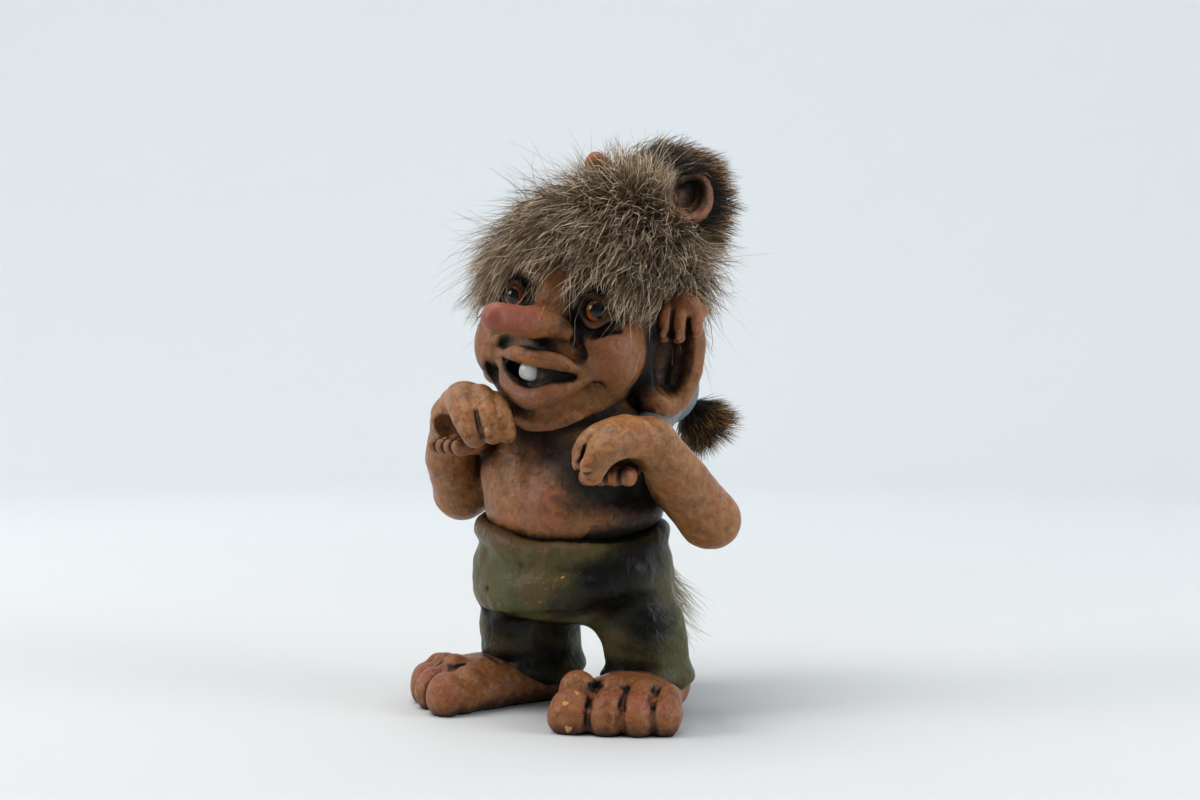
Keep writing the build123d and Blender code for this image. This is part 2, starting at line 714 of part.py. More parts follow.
# Move everything so that the box is centred over the origin, and write one file per piece
whole = Compound(children=[Compound([piece]) for piece in pieces.values()]).bounding_box()
centre = whole.center()
to_origin = Location((-centre.X, -centre.Y, -whole.min.Z))
print("box", whole.size, "moved by", -centre.X, -centre.Y, -whole.min.Z)
for name, shape in pieces.items():
    print(name, shape.is_valid, round(shape.volume))
os.makedirs("parts", exist_ok=True)
for name, shape in pieces.items():
    export_step(to_origin * shape, f"parts/{name}.step")
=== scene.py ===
# A grown troll that carries a small troll on its back: painted castings, glass eyes and fur.
import math

import bpy
import numpy as np
from mathutils import Matrix, Vector


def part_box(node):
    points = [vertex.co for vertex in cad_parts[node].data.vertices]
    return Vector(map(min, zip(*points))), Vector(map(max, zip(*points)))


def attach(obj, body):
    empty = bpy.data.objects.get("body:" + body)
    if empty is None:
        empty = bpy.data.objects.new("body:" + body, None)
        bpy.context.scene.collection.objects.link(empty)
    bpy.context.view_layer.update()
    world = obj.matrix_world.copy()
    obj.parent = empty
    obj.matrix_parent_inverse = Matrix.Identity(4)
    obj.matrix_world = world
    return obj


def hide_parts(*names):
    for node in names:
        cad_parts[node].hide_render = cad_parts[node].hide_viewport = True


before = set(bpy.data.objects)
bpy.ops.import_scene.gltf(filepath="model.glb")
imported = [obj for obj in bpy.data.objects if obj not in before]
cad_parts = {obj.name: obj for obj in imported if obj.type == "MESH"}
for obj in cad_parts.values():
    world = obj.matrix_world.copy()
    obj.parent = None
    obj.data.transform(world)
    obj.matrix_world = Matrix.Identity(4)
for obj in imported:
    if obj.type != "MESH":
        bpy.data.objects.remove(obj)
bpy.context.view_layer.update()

# All sculpting is in millimetres in the figure's own axes: X to its left, Y to its back, Z up.
# The dowel in the neck gives the step from those axes to the frame.
mm = 0.001
dowel_low, dowel_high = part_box("neck_dowel")
dowel_in_figure = np.array([-1.5, 2.4])
dowel_in_frame = np.array([dowel_low.x + dowel_high.x, dowel_low.y + dowel_high.y]) / 2 / mm
to_frame = np.append(dowel_in_frame - dowel_in_figure, 0.0)

coarse = 1.0
body_cell = 0.85 * coarse
face_cell = 0.62 * coarse
hand_cell = 0.55 * coarse
shade_cell = 2.0
shade_margin = 14.0
hollow_reach, wide_reach, ridge_reach = 1.0, 2.6, 1.6
shadow_reaches = (2.5, 5.0, 9.0, 13.0)
fine_cell = 0.5 * coarse
small_foot_cell = 0.42 * coarse
far_away = 30.0
strand_share = 1.0


def turn_about(axis, degrees):
    """A turn about one axis as a 3 by 3 array."""
    return np.array(Matrix.Rotation(math.radians(degrees), 3, axis))


def unit(vectors):
    size = np.linalg.norm(vectors, axis=-1, keepdims=True)
    return vectors / np.maximum(size, 1e-9)


# Strokes of clay: each is a distance function with the box that it stays in
class Stroke:
    def __init__(self, distance, low, high):
        self.distance = distance
        self.low = np.array(low, float)
        self.high = np.array(high, float)


def egg(centre, radii, turn=None):
    """A ball with three radii, turned about its centre."""
    centre = np.array(centre, np.float32)
    radii = np.array(np.broadcast_to(radii, 3), np.float32)
    reach = radii.max() if turn is not None else radii

    def distance(points):
        local = points - centre
        if turn is not None:
            local = local @ np.array(turn, np.float32)
        share = np.linalg.norm(local / radii, axis=-1)
        slope = np.linalg.norm(local / (radii * radii), axis=-1)
        return share * (share - 1) / np.maximum(slope, 1e-6)

    return Stroke(distance, centre - reach, centre + reach)


def line_distance(points, path, radii):
    """Distance to a chain of straight bones whose radius runs evenly from point to point."""
    best = None
    for a, b, ra, rb in zip(path[:-1], path[1:], radii[:-1], radii[1:]):
        bone = b - a
        along = np.clip((points - a) @ bone / max(float(bone @ bone), 1e-9), 0, 1)
        gap = np.linalg.norm(points - a - along[..., None] * bone, axis=-1) - (ra + (rb - ra) * along)
        best = gap if best is None else np.minimum(best, gap)
    return best


def bone(path, radii):
    """A limb through points, as thick at each as its radius says."""
    path = np.array(path, np.float32)
    radii = np.array(np.broadcast_to(radii, len(path)), np.float32)

    def distance(points):
        return line_distance(points, path, radii)

    return Stroke(distance, (path - radii[:, None]).min(0), (path + radii[:, None]).max(0))


def arc(points, count=4):
    """A smooth run through given points."""
    points = np.array(points, float)
    padded = np.vstack([2 * points[0] - points[1], points, 2 * points[-1] - points[-2]])
    made = []
    for i in range(1, len(padded) - 2):
        a, b, c, d = padded[i - 1:i + 3]
        for t in np.arange(count) / count:
            bend = (2 * a - 5 * b + 4 * c - d) * t * t
            twist = (3 * b - a - 3 * c + d) * t ** 3
            made.append(0.5 * ((2 * b) + (c - a) * t + bend + twist))
    made.append(points[-1])
    return np.array(made)


def limb(points, radii, count=4):
    """A smooth limb through given points, with its radii spread evenly from end to end."""
    path = arc(points, count)
    return bone(path, np.interp(np.arange(len(path)), np.linspace(0, len(path) - 1, len(radii)), radii))


class Clay:
    """A shape worked up stroke by stroke, in axes of its own, and sampled on a grid."""

    def __init__(self, place=(0, 0, 0), turn=None):
        self.place = np.array(place, float)
        self.turn = np.eye(3) if turn is None else np.array(turn, float)
        self.strokes = []

    def add(self, stroke, soft=2.0):
        self.strokes.append(("add", stroke, soft, 0))
        return self

    def cut(self, stroke, soft=1.0):
        self.strokes.append(("cut", stroke, soft, 0))
        return self

    def press(self, path, width, depth, smooth=True):
        """A soft groove along a line, or a soft ridge where the depth is below zero."""
        path = np.array(path, float)
        if smooth and len(path) > 2:
            path = arc(path)
        if len(path) == 1:
            path = np.vstack([path, path + 0.01])
        self.strokes.append(("press", bone(path, 0), width, depth))
        return self

    def work(self, points, kind, stroke, soft, depth, values):
        gap = stroke.distance(points)
        if kind == "press":
            return values + depth * np.exp(-(gap / soft) ** 2)
        if kind == "cut":
            gap = -gap
            blend = np.maximum(soft - np.abs(values - gap), 0)
            return np.maximum(values, gap) + blend * blend / (4 * max(soft, 1e-6))
        blend = np.maximum(soft - np.abs(values - gap), 0)
        return np.minimum(values, gap) - blend * blend / (4 * max(soft, 1e-6))

    def reach(self, kind, soft, margin):
        return 3 * soft if kind == "press" else margin + soft

    def box(self, margin):
        adds = [s for kind, s, soft, depth in self.strokes if kind == "add"]
        return np.min([s.low for s in adds], 0) - margin, np.max([s.high for s in adds], 0) + margin

    def grid(self, cell, margin=5.0):
        low, high = self.box(margin)
        axes = [np.arange(a, b + cell, cell, dtype=np.float32) for a, b in zip(low, high)]
        values = np.full([len(a) for a in axes], far_away, np.float32)
        for kind, stroke, soft, depth in self.strokes:
            room = self.reach(kind, soft, margin)
            first = [int(np.searchsorted(a, v - room)) for a, v in zip(axes, stroke.low)]
            last = [int(np.searchsorted(a, v + room)) for a, v in zip(axes, stroke.high)]
            if any(i >= j for i, j in zip(first, last)):
                continue
            part = tuple(slice(i, j) for i, j in zip(first, last))
            points = np.stack(np.meshgrid(*[a[p] for a, p in zip(axes, part)], indexing="ij"), -1)
            values[part] = self.work(points, kind, stroke, soft, depth, values[part])
        return Grid(values, np.array([a[0] for a in axes], float), cell)

    def values_at(self, points, margin):
        """The shape's distance at loose points given in the figure's axes."""
        local = ((points - self.place) @ self.turn).astype(np.float32)
        values = np.full(len(points), far_away, np.float32)
        for kind, stroke, soft, depth in self.strokes:
            room = self.reach(kind, soft, margin)
            close = np.all((local > stroke.low - room) & (local < stroke.high + room), axis=1)
            if close.any():
                values[close] = self.work(local[close], kind, stroke, soft, depth, values[close])
        return values

    def out(self, points):
        """From the clay's own axes to the figure's."""
        return points @ self.turn.T + self.place

    def inward(self, points):
        return (np.asarray(points, float) - self.place) @ self.turn


class Grid:
    """Values on an even grid, read between its points."""

    def __init__(self, values, origin, cell):
        self.values, self.origin, self.cell = values, origin, cell

    def read(self, points):
        place = (points - self.origin) / self.cell
        place = np.clip(place, 0, np.array(self.values.shape) - 1.001)
        whole = place.astype(int)
        share = (place - whole).astype(np.float32)
        total = 0
        for corner in np.ndindex(2, 2, 2):
            weight = np.prod(np.where(corner, share, 1 - share), axis=1)
            i, j, k = (whole + corner).T
            total = total + weight * self.values[i, j, k]
        return total

    def slope(self, points):
        steps = np.eye(3) * self.cell * 0.5
        sides = [self.read(points + s) - self.read(points - s) for s in steps]
        return np.stack(sides, 1) / self.cell

    def skin(self):
        """One point in each cell that the surface crosses, joined into four-sided faces."""
        inside = self.values < 0
        corners = list(np.ndindex(2, 2, 2))
        size = np.array(inside.shape) - 1
        reach = [[slice(step, step + length) for step, length in zip(corner, size)] for corner in corners]
        count = sum(inside[tuple(part)].astype(np.int8) for part in reach)
        mixed = (count > 0) & (count < 8)
        cells = np.argwhere(mixed)
        number = np.full(mixed.shape, -1, np.int64)
        number[mixed] = np.arange(len(cells))
        total, hits = np.zeros((len(cells), 3)), np.zeros(len(cells))
        for a in corners:
            for axis in range(3):
                if a[axis]:
                    continue
                b = tuple(v + (i == axis) for i, v in enumerate(a))
                start = self.values[tuple((cells + a).T)]
                end = self.values[tuple((cells + b).T)]
                cross = (start < 0) != (end < 0)
                share = start / np.where(cross, start - end, 1)
                point = np.array(a) + share[:, None] * (np.array(b) - np.array(a))
                total[cross] += point[cross]
                hits += cross
        points = self.origin + (cells + total / hits[:, None]) * self.cell
        faces = []
        for axis in range(3):
            u, v = (axis + 1) % 3, (axis + 2) % 3
            low = [slice(None)] * 3
            high = [slice(None)] * 3
            low[axis], high[axis] = slice(None, -1), slice(1, None)
            change = inside[tuple(low)] != inside[tuple(high)]
            edges = np.argwhere(change)
            edges = edges[(edges[:, u] > 0) & (edges[:, v] > 0)]
            edges = edges[(edges[:, u] < size[u]) & (edges[:, v] < size[v])]
            step_u, step_v = np.eye(3, dtype=int)[u], np.eye(3, dtype=int)[v]
            ring = [edges - step_u - step_v, edges - step_v, edges, edges - step_u]
            quad = np.stack([number[tuple(r.T)] for r in ring], 1)
            leaves = inside[tuple(edges.T)]
            quad[~leaves] = quad[~leaves][:, ::-1]
            faces.append(quad)
        return points, np.concatenate(faces)


lattice_cells = 32


def lumps(points, size, seed):
    """Smooth random bumps of about one size, from -1 to 1."""
    lattice = np.random.default_rng(seed).uniform(-1, 1, (lattice_cells,) * 3).astype(np.float32)
    place = np.asarray(points) / size + 100.0
    whole = np.floor(place).astype(int)
    share = place - whole
    share = share * share * (3 - 2 * share)
    total = 0
    for corner in np.ndindex(2, 2, 2):
        i, j, k = ((whole + corner) % lattice_cells).T
        total = total + np.prod(np.where(corner, share, 1 - share), axis=1) * lattice[i, j, k]
    return total


def near(points, places, radius):
    """1 at given points or along the line through them, fading to 0 past a radius."""
    places = np.array(places, float)
    if len(places) == 1:
        gap = np.linalg.norm(points - places[0], axis=1)
    else:
        gap = line_distance(points, places, np.zeros(len(places)))
    return np.exp(-(gap / radius) ** 2)


def spots(points, places, radius):
    """1 at each of several separate points, fading to 0 past a radius."""
    return np.max([near(points, [p], radius) for p in places], axis=0)


def brushed(points, strokes):
    """Brush strokes added up, each given as how much, along which points and how wide."""
    return sum(much * near(points, line, wide) for much, line, wide in strokes)


def mesh_piece(name, points, faces, body, material, replaced=(), marks=None, corners=None):
    """A mesh object in the frame from points in millimetres and faces of three or four corners."""
    mesh = bpy.data.meshes.new(name)
    mesh.vertices.add(len(points))
    mesh.vertices.foreach_set("co", ((points + to_frame) * mm).astype(np.float32).ravel())
    faces = np.asarray(faces)
    if corners is None:
        corners = np.full(len(faces), faces.shape[1])
        loops = faces.ravel()
    else:
        loops = faces
    mesh.loops.add(len(loops))
    mesh.loops.foreach_set("vertex_index", loops.astype(np.int32))
    mesh.polygons.add(len(corners))
    mesh.polygons.foreach_set("loop_start", np.concatenate([[0], np.cumsum(corners)[:-1]]).astype(np.int32))
    mesh.update(calc_edges=True)
    mesh.shade_smooth()
    for mark, values in (marks or {}).items():
        mesh.attributes.new(mark, "FLOAT", "POINT").data.foreach_set("value", np.asarray(values, np.float32))
    mesh.materials.append(material)
    piece = bpy.data.objects.new(name, mesh)
    bpy.context.scene.collection.objects.link(piece)
    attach(piece, body)
    if replaced:
        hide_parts(*replaced)
    return piece


# Colours, as they look
def shade(red, green, blue):
    """A colour from 0 to 255 a channel, as the shaders take it."""
    values = [v / 255 for v in (red, green, blue)]
    return (*[v / 12.92 if v <= 0.04045 else ((v + 0.055) / 1.055) ** 2.4 for v in values], 1.0)


flesh = shade(132, 89, 53)
warm_flesh = shade(144, 88, 47)
cool_flesh = shade(94, 62, 41)
umber = shade(15, 9, 5)
rose = shade(148, 82, 70)
cream = shade(170, 124, 80)
bare_paint = shade(196, 152, 84)
mouth_dark = shade(14, 9, 8)
lip_colour = shade(118, 74, 62)
olive = shade(76, 77, 42)
brown_olive = shade(82, 66, 34)
grey_green = shade(70, 64, 42)
trouser_dark = shade(9, 10, 6)
band_brown = shade(92, 66, 40)
child_grey = shade(112, 116, 118)
child_grey_dark = shade(40, 42, 42)
tooth_white = shade(196, 198, 196)
tooth_grey = shade(168, 170, 168)
foam_cream = shade(214, 200, 160)
beech = shade(186, 150, 104)
paper_near = shade(207, 210, 212)
paper_far = shade(232, 237, 240)
paper_grey = shade(150, 153, 156)


class Finish:
    """A material, with short ways to place and join its nodes."""

    def __init__(self, name, tree=None):
        if tree is None:
            self.material = bpy.data.materials.new(name)
            self.material.use_nodes = True
            tree = self.material.node_tree
            self.surface = tree.nodes["Principled BSDF"]
        self.tree = tree

    def put(self, kind, settings=None, **inputs):
        """A node with its settings, and its inputs by name: a value, or the socket that feeds it."""
        made = self.tree.nodes.new("ShaderNode" + kind)
        for key, value in (settings or {}).items():
            setattr(made, key, value)
        for key, value in inputs.items():
            self.feed(made, key, value)
        return made

    def feed(self, made, key, value):
        name = key.replace("_", " ")
        socket = made.inputs[int(name[1:])] if name[0] == "i" and name[1:].isdigit() else made.inputs[name]
        if isinstance(value, bpy.types.NodeSocket):
            self.tree.links.new(value, socket)
        else:
            socket.default_value = value

    def mix(self, share, first, second, blend="MIX"):
        made = self.put("Mix", {"data_type": "RGBA", "blend_type": blend})
        for number, value in ((0, share), (6, first), (7, second)):
            self.feed(made, f"i{number}", value)
        return made.outputs[2]

    def sum(self, operation, first, second=0.0, third=0.0, clamp=False):
        made = self.put("Math", {"operation": operation, "use_clamp": clamp})
        for number, value in enumerate((first, second, third)):
            self.feed(made, f"i{number}", value)
        return made.outputs[0]

    def span(self, value, low, high, out_low=0.0, out_high=1.0):
        made = self.put("MapRange", {"interpolation_type": "SMOOTHSTEP"}, Value=value)
        limits = {"From Min": low, "From Max": high, "To Min": out_low, "To Max": out_high}
        for key, number in limits.items():
            self.feed(made, key, number)
        return made.outputs[0]

    def mark(self, name):
        return self.put("Attribute", {"attribute_name": name}).outputs["Fac"]

    def noise(self, place, scale, detail=3.0, roughness=0.55, distortion=0.0):
        made = self.put("TexNoise", Vector=place, Scale=scale, Detail=detail, Roughness=roughness)
        self.feed(made, "Distortion", distortion)
        return made.outputs["Fac"]

    def place(self, stretch=(1, 1, 1)):
        """The object's own coordinates in millimetres."""
        made = self.put("Mapping", Vector=self.put("TexCoord").outputs["Object"])
        made.inputs["Scale"].default_value = [s / mm for s in stretch]
        return made.outputs["Vector"]

    def use(self, group, **inputs):
        made = self.put("Group", {"node_tree": group})
        for key, value in inputs.items():
            self.feed(made, key, value)
        return made


def node_group(name, sockets_in, sockets_out):
    """A shared group with named inputs and outputs, and its input and output nodes."""
    tree = bpy.data.node_groups.new(name, "ShaderNodeTree")
    for label, kind, value in sockets_in:
        socket = tree.interface.new_socket(name=label, in_out="INPUT", socket_type="NodeSocket" + kind)
        socket.default_value = value
    for label, kind in sockets_out:
        tree.interface.new_socket(name=label, in_out="OUTPUT", socket_type="NodeSocket" + kind)
    work = Finish(name, tree)
    return work, tree.nodes.new("NodeGroupInput").outputs, tree.nodes.new("NodeGroupOutput").inputs


def make_mottle():
    """Three paints brushed over each other in soft patches."""
    sockets = [("First", "Color", flesh), ("Second", "Color", warm_flesh), ("Third", "Color", cool_flesh),
               ("Size", "Float", 0.1)]
    work, given, result = node_group("mottle", sockets, [("Color", "Color")])
    place = work.place()
    broad = work.noise(place, given["Size"], 4.0, 0.6, 0.8)
    finer = work.noise(place, work.sum("MULTIPLY", given["Size"], 3.1), 5.0, 0.65, 0.4)
    colour = work.mix(work.span(broad, 0.40, 0.62), given["First"], given["Second"])
    colour = work.mix(work.span(finer, 0.46, 0.68, 0.0, 0.75), colour, given["Third"])
    work.tree.links.new(colour, result["Color"])
    return work.tree


def make_wash_and_shade():
    """Dark paint that settles in hollows, with painted shade where the amount brings it, and breaks up where
    it thins out.
    """
    sockets = [("Color", "Color", flesh), ("Dark", "Color", umber), ("Amount", "Float", 0.0),
               ("Size", "Float", 0.3)]
    work, given, result = node_group("wash_and_shade", sockets, [("Color", "Color"), ("Mask", "Float")])
    place = work.place()
    grain = work.noise(place, given["Size"], 6.0, 0.7, 0.6)
    amount = work.sum("MULTIPLY_ADD", work.sum("SUBTRACT", grain, 0.5), 1.1, given["Amount"])
    mask = work.span(amount, 0.30, 1.10)
    thin = work.mix(0.35, given["Dark"], given["Color"])
    colour = work.mix(work.span(amount, 0.0, 0.62), given["Color"], thin)
    colour = work.mix(mask, colour, given["Dark"])
    work.tree.links.new(colour, result["Color"])
    work.tree.links.new(mask, result["Mask"])
    return work.tree


def make_grain():
    """Height of a hand-worked casting: pores, brush marks and hairline cracks, in millimetres."""
    sockets = [("Pores", "Float", 1.0), ("Cracks", "Float", 0.0), ("Brush", "Float", 0.5)]
    work, given, result = node_group("grain", sockets, [("Height", "Float"), ("Crack", "Float")])
    place = work.place()
    pores = work.noise(place, 1.6, 4.0, 0.6)
    lumps_mask = work.noise(place, 0.45, 3.0, 0.5)
    brush = work.noise(work.place((1, 1, 0.5)), 0.7, 3.0, 0.5, 0.6)
    bend = work.put("TexNoise", Vector=place, Scale=0.5).outputs["Color"]
    bent = work.put("VectorMath", {"operation": "MULTIPLY_ADD"}, i0=bend, i1=(3.0, 3.0, 3.0), i2=place)
    cells = work.put("TexVoronoi", {"feature": "DISTANCE_TO_EDGE"}, Vector=bent.outputs[0], Scale=0.28)
    crack = work.sum("MULTIPLY", work.span(cells.outputs["Distance"], 0.0, 0.035, 1.0, 0.0), given["Cracks"])
    height = work.sum("MULTIPLY", pores, work.sum("MULTIPLY", given["Pores"], 0.16))
    height = work.sum("MULTIPLY_ADD", lumps_mask, 0.55, height)
    height = work.sum("MULTIPLY_ADD", brush, work.sum("MULTIPLY", given["Brush"], 0.20), height)
    height = work.sum("MULTIPLY_ADD", crack, -0.22, height)
    work.tree.links.new(height, result["Height"])
    work.tree.links.new(crack, result["Crack"])
    return work.tree


mottle, wash_and_shade, grain = make_mottle(), make_wash_and_shade(), make_grain()


def finish_bump(paint, height, depth=1.0):
    bump = paint.put("Bump", Height=height, Distance=mm, Strength=depth)
    paint.feed(paint.surface, "Normal", bump.outputs["Normal"])


def painted_flesh(name, cracks, base=(flesh, warm_flesh, cool_flesh)):
    """Brown flesh paint with rosy and pale parts and painted highlights, dark paint in the hollows with
    painted shade, and chips down to the cream casting.
    """
    paint = Finish(name)
    colour = paint.use(mottle, First=base[0], Second=base[1], Third=base[2], Size=0.10).outputs["Color"]
    place = paint.place()
    streaks = paint.noise(place, 0.32, 4.0, 0.6, 0.8)
    # The pale mark lays pale streaks and painted highlights in cream
    pale = paint.sum("MULTIPLY", paint.mark("pale"), paint.span(streaks, 0.38, 0.72), clamp=True)
    colour = paint.mix(pale, colour, cream)
    colour = paint.mix(paint.sum("MULTIPLY", paint.mark("blush"), 0.85, clamp=True), colour, rose)
    colour = paint.mix(paint.sum("MULTIPLY", paint.mark("lip"), 0.8, clamp=True), colour, lip_colour)
    # Dark paint in hollows and painted shade, as the marks give them
    washed_and_shaded = paint.use(wash_and_shade, Color=colour, Dark=umber, Amount=paint.mark("wash_and_shade"), Size=0.35)
    specks = paint.noise(place, 2.6, 2.0, 0.4)
    freckle = paint.sum("MULTIPLY", paint.span(specks, 0.66, 0.74), 0.55)
    colour = paint.mix(freckle, washed_and_shaded.outputs["Color"], umber)
    relief = paint.use(grain, Pores=1.0, Cracks=cracks, Brush=0.7)
    colour = paint.mix(paint.sum("MULTIPLY", relief.outputs["Crack"], 0.75), colour, umber)
    ragged = paint.sum("MULTIPLY_ADD", paint.noise(place, 0.9, 3.0, 0.6), 0.9, paint.mark("chip"))
    chipped = paint.span(ragged, 0.98, 1.06)
    colour = paint.mix(chipped, colour, bare_paint)
    paint.feed(paint.surface, "Base Color", colour)
    rough = paint.sum("MULTIPLY_ADD", paint.noise(place, 0.5, 3.0), 0.26, 0.21)
    paint.feed(paint.surface, "Roughness", paint.sum("MULTIPLY_ADD", washed_and_shaded.outputs["Mask"], 0.22, rough))
    paint.surface.inputs["Specular IOR Level"].default_value = 0.24
    height = paint.sum("MULTIPLY_ADD", chipped, -0.18, relief.outputs["Height"])
    finish_bump(paint, height, 0.85)
    return paint.material


def painted_cloth(name, first, second, third, dark, band):
    """Trouser paint brushed down the casting, with painted shade in the folds and between the legs, and
    painted highlights where it is pale.
    """
    paint = Finish(name)
    colour = paint.use(mottle, First=first, Second=second, Third=third, Size=0.07).outputs["Color"]
    streaks = paint.noise(paint.place((1, 1, 0.25)), 0.6, 5.0, 0.65, 0.4)
    # The pale mark lays pale streaks and painted highlights
    pale = paint.sum("MULTIPLY", paint.mark("pale"), paint.span(streaks, 0.32, 0.70), clamp=True)
    colour = paint.mix(pale, colour, third)
    colour = paint.mix(paint.sum("MULTIPLY", paint.mark("band"), 0.85, clamp=True), colour, band)
    # Dark paint in hollows and painted shade, as the marks give them
    washed_and_shaded = paint.use(wash_and_shade, Color=colour, Dark=dark, Amount=paint.mark("wash_and_shade"), Size=0.16)
    place = paint.place()
    ragged = paint.sum("MULTIPLY_ADD", paint.noise(place, 0.8, 3.0, 0.6), 0.9, paint.mark("chip"))
    chipped = paint.span(ragged, 0.98, 1.08)
    colour = paint.mix(chipped, washed_and_shaded.outputs["Color"], bare_paint)
    colour = paint.mix(paint.sum("MULTIPLY", paint.mark("pit"), 0.95, clamp=True), colour, umber)
    paint.feed(paint.surface, "Base Color", colour)
    rough = paint.sum("MULTIPLY_ADD", paint.noise(place, 0.35, 3.0), 0.25, 0.26)
    paint.feed(paint.surface, "Roughness", rough)
    paint.surface.inputs["Specular IOR Level"].default_value = 0.19
    relief = paint.use(grain, Pores=0.7, Cracks=0.0, Brush=1.0)
    finish_bump(paint, relief.outputs["Height"], 0.9)
    return paint.material


def fur_finish(name, root, middle, tip, tip_start, tip_share, gloss=0.42):
    """Hair that goes from root to tip colour, strand by strand in different tones."""
    paint = Finish(name)
    along, tone = paint.mark("along"), paint.mark("tone")
    colour = paint.mix(paint.span(along, 0.05, 0.45), root, middle)
    reach = paint.sum("SUBTRACT", along, paint.sum("MULTIPLY", tone, 0.25))
    light = paint.span(reach, tip_start, tip_start + 0.35)
    chosen = paint.span(paint.mark("pick"), 1 - tip_share - 0.1, 1 - tip_share + 0.1)
    colour = paint.mix(paint.sum("MULTIPLY", light, chosen), colour, tip)
    value = paint.span(tone, 0.0, 1.0, 0.42, 1.42)
    tinted = paint.put("HueSaturation", Color=colour, Value=value)
    paint.feed(paint.surface, "Base Color", tinted.outputs["Color"])
    paint.surface.inputs["Roughness"].default_value = gloss
    paint.surface.inputs["Specular IOR Level"].default_value = 0.35
    return paint.material


def plain_finish(name, light, dark, size, rough, metal=0.0, depth=0.3, stretch=(1, 1, 1)):
    paint = Finish(name)
    place = paint.place(stretch)
    grainy = paint.noise(place, size, 5.0, 0.6, 0.5)
    paint.feed(paint.surface, "Base Color", paint.mix(paint.span(grainy, 0.35, 0.65), light, dark))
    paint.feed(paint.surface, "Roughness", paint.sum("MULTIPLY_ADD", grainy, 0.2, rough))
    paint.surface.inputs["Metallic"].default_value = metal
    finish_bump(paint, paint.sum("MULTIPLY", grainy, 0.3), depth)
    return paint.material


skin_paint = painted_flesh("flesh_paint", 0.12)
foot_paint = painted_flesh("foot_paint", 0.45, (shade(130, 80, 47), shade(142, 82, 46), shade(102, 64, 38)))
trouser_paint = painted_cloth("trouser_paint", olive, brown_olive, grey_green, trouser_dark, band_brown)
child_trouser_paint = painted_cloth("child_trouser_paint", child_grey, child_grey, child_grey,
                                    child_grey_dark, child_grey)
hair_fur = fur_finish("hair_fur", shade(22, 15, 10), shade(102, 77, 55), shade(242, 220, 186), 0.30, 0.46)
black_fur = fur_finish("black_fur", shade(7, 6, 6), shade(22, 17, 14), shade(212, 154, 78), 0.40, 0.36)
tail_fur = fur_finish("tail_fur", shade(90, 76, 60), shade(160, 142, 118), shade(226, 212, 188), 0.30, 0.8)
foam = plain_finish("foam", foam_cream, shade(190, 172, 130), 0.8, 0.75)
wood = plain_finish("beech_dowel", beech, shade(160, 122, 80), 0.5, 0.5, stretch=(1, 1, 0.1))
steel = plain_finish("steel_wire", shade(170, 170, 172), shade(140, 140, 143), 2.0, 0.3, metal=1.0,
                     depth=0.1)


# Camera, where the photograph was taken from, and a pale studio
camera_place = np.array([293.0, -459.5, 111.0])
camera_heading = 32.0
camera_pitch = 1.2
studio_radius = 1.5
studio_height = 1.7
studio_bend = 0.5


def make_camera():
    data = bpy.data.cameras.new("camera")
    data.lens, data.sensor_width = 50.0, 36.0
    camera = bpy.data.objects.new("camera", data)
    bpy.context.scene.collection.objects.link(camera)
    camera.location = Vector((camera_place + to_frame) * mm)
    camera.rotation_euler = (math.radians(90 - camera_pitch), 0, math.radians(camera_heading))
    data.clip_start, data.clip_end = 0.02, 50.0
    bpy.context.scene.camera = camera


def make_studio():
    """A wide pale paper floor that rises all round into a wall, with painted shade: darker near the figure,
    and greyer in front of the figure.
    """
    paint = Finish("studio_paper")
    parts = paint.put("SeparateXYZ", Vector=paint.put("TexCoord").outputs["Object"]).outputs
    in_front = paint.sum("MULTIPLY_ADD", parts["X"], 0.537, paint.sum("MULTIPLY", parts["Y"], -0.843))
    far = paint.put("VectorMath", {"operation": "LENGTH"}, i0=paint.put("TexCoord").outputs["Object"])
    # Painted shade: the paper darker near the figure than on the far wall
    pale = paint.mix(paint.span(far.outputs["Value"], 0.1, 1.0), paper_near, paper_far)
    # Painted shade: grey on the floor toward the camera, where the room is dark
    paint.feed(paint.surface, "Base Color", paint.mix(paint.span(in_front, 0.20, 0.42), pale, paper_grey))
    paint.surface.inputs["Roughness"].default_value = 0.9
    paint.surface.inputs["Specular IOR Level"].default_value = 0.1
    flat_part = studio_radius - studio_bend
    profile = [(0.0, 0.0), (0.5, 0.0), (flat_part, 0.0)]
    bend_steps = 8
    for step in range(1, bend_steps + 1):
        angle = math.pi / 2 * step / bend_steps
        profile.append((flat_part + studio_bend * math.sin(angle), studio_bend * (1 - math.cos(angle))))
    profile.append((studio_radius, studio_height))
    sides = 96
    angles = np.arange(sides) * 2 * math.pi / sides
    rows = [np.stack([r * np.cos(angles), r * np.sin(angles), np.full(sides, z)], 1) for r, z in profile[1:]]
    points = np.vstack([[[0.0, 0.0, 0.0]], *rows])
    mesh = bpy.data.meshes.new("studio")
    faces = [(0, 1 + i, 1 + (i + 1) % sides) for i in range(sides)]
    for row in range(len(rows) - 1):
        a, b = 1 + row * sides, 1 + (row + 1) * sides
        faces += [(a + i, b + i, b + (i + 1) % sides, a + (i + 1) % sides) for i in range(sides)]
    mesh.from_pydata([tuple(p) for p in points], [], faces)
    mesh.shade_smooth()
    mesh.materials.append(paint.material)
    studio = bpy.data.objects.new("studio", mesh)
    bpy.context.scene.collection.objects.link(studio)


def make_lamp(name, place, target, size, power, colour):
    data = bpy.data.lights.new(name, "AREA")
    data.shape, data.size, data.size_y = "RECTANGLE", size[0], size[1]
    data.energy, data.color = power, colour
    lamp = bpy.data.objects.new(name, data)
    bpy.context.scene.collection.objects.link(lamp)
    lamp.location = Vector(place)
    lamp.rotation_euler = (Vector(target) - Vector(place)).to_track_quat("-Z", "Y").to_euler()


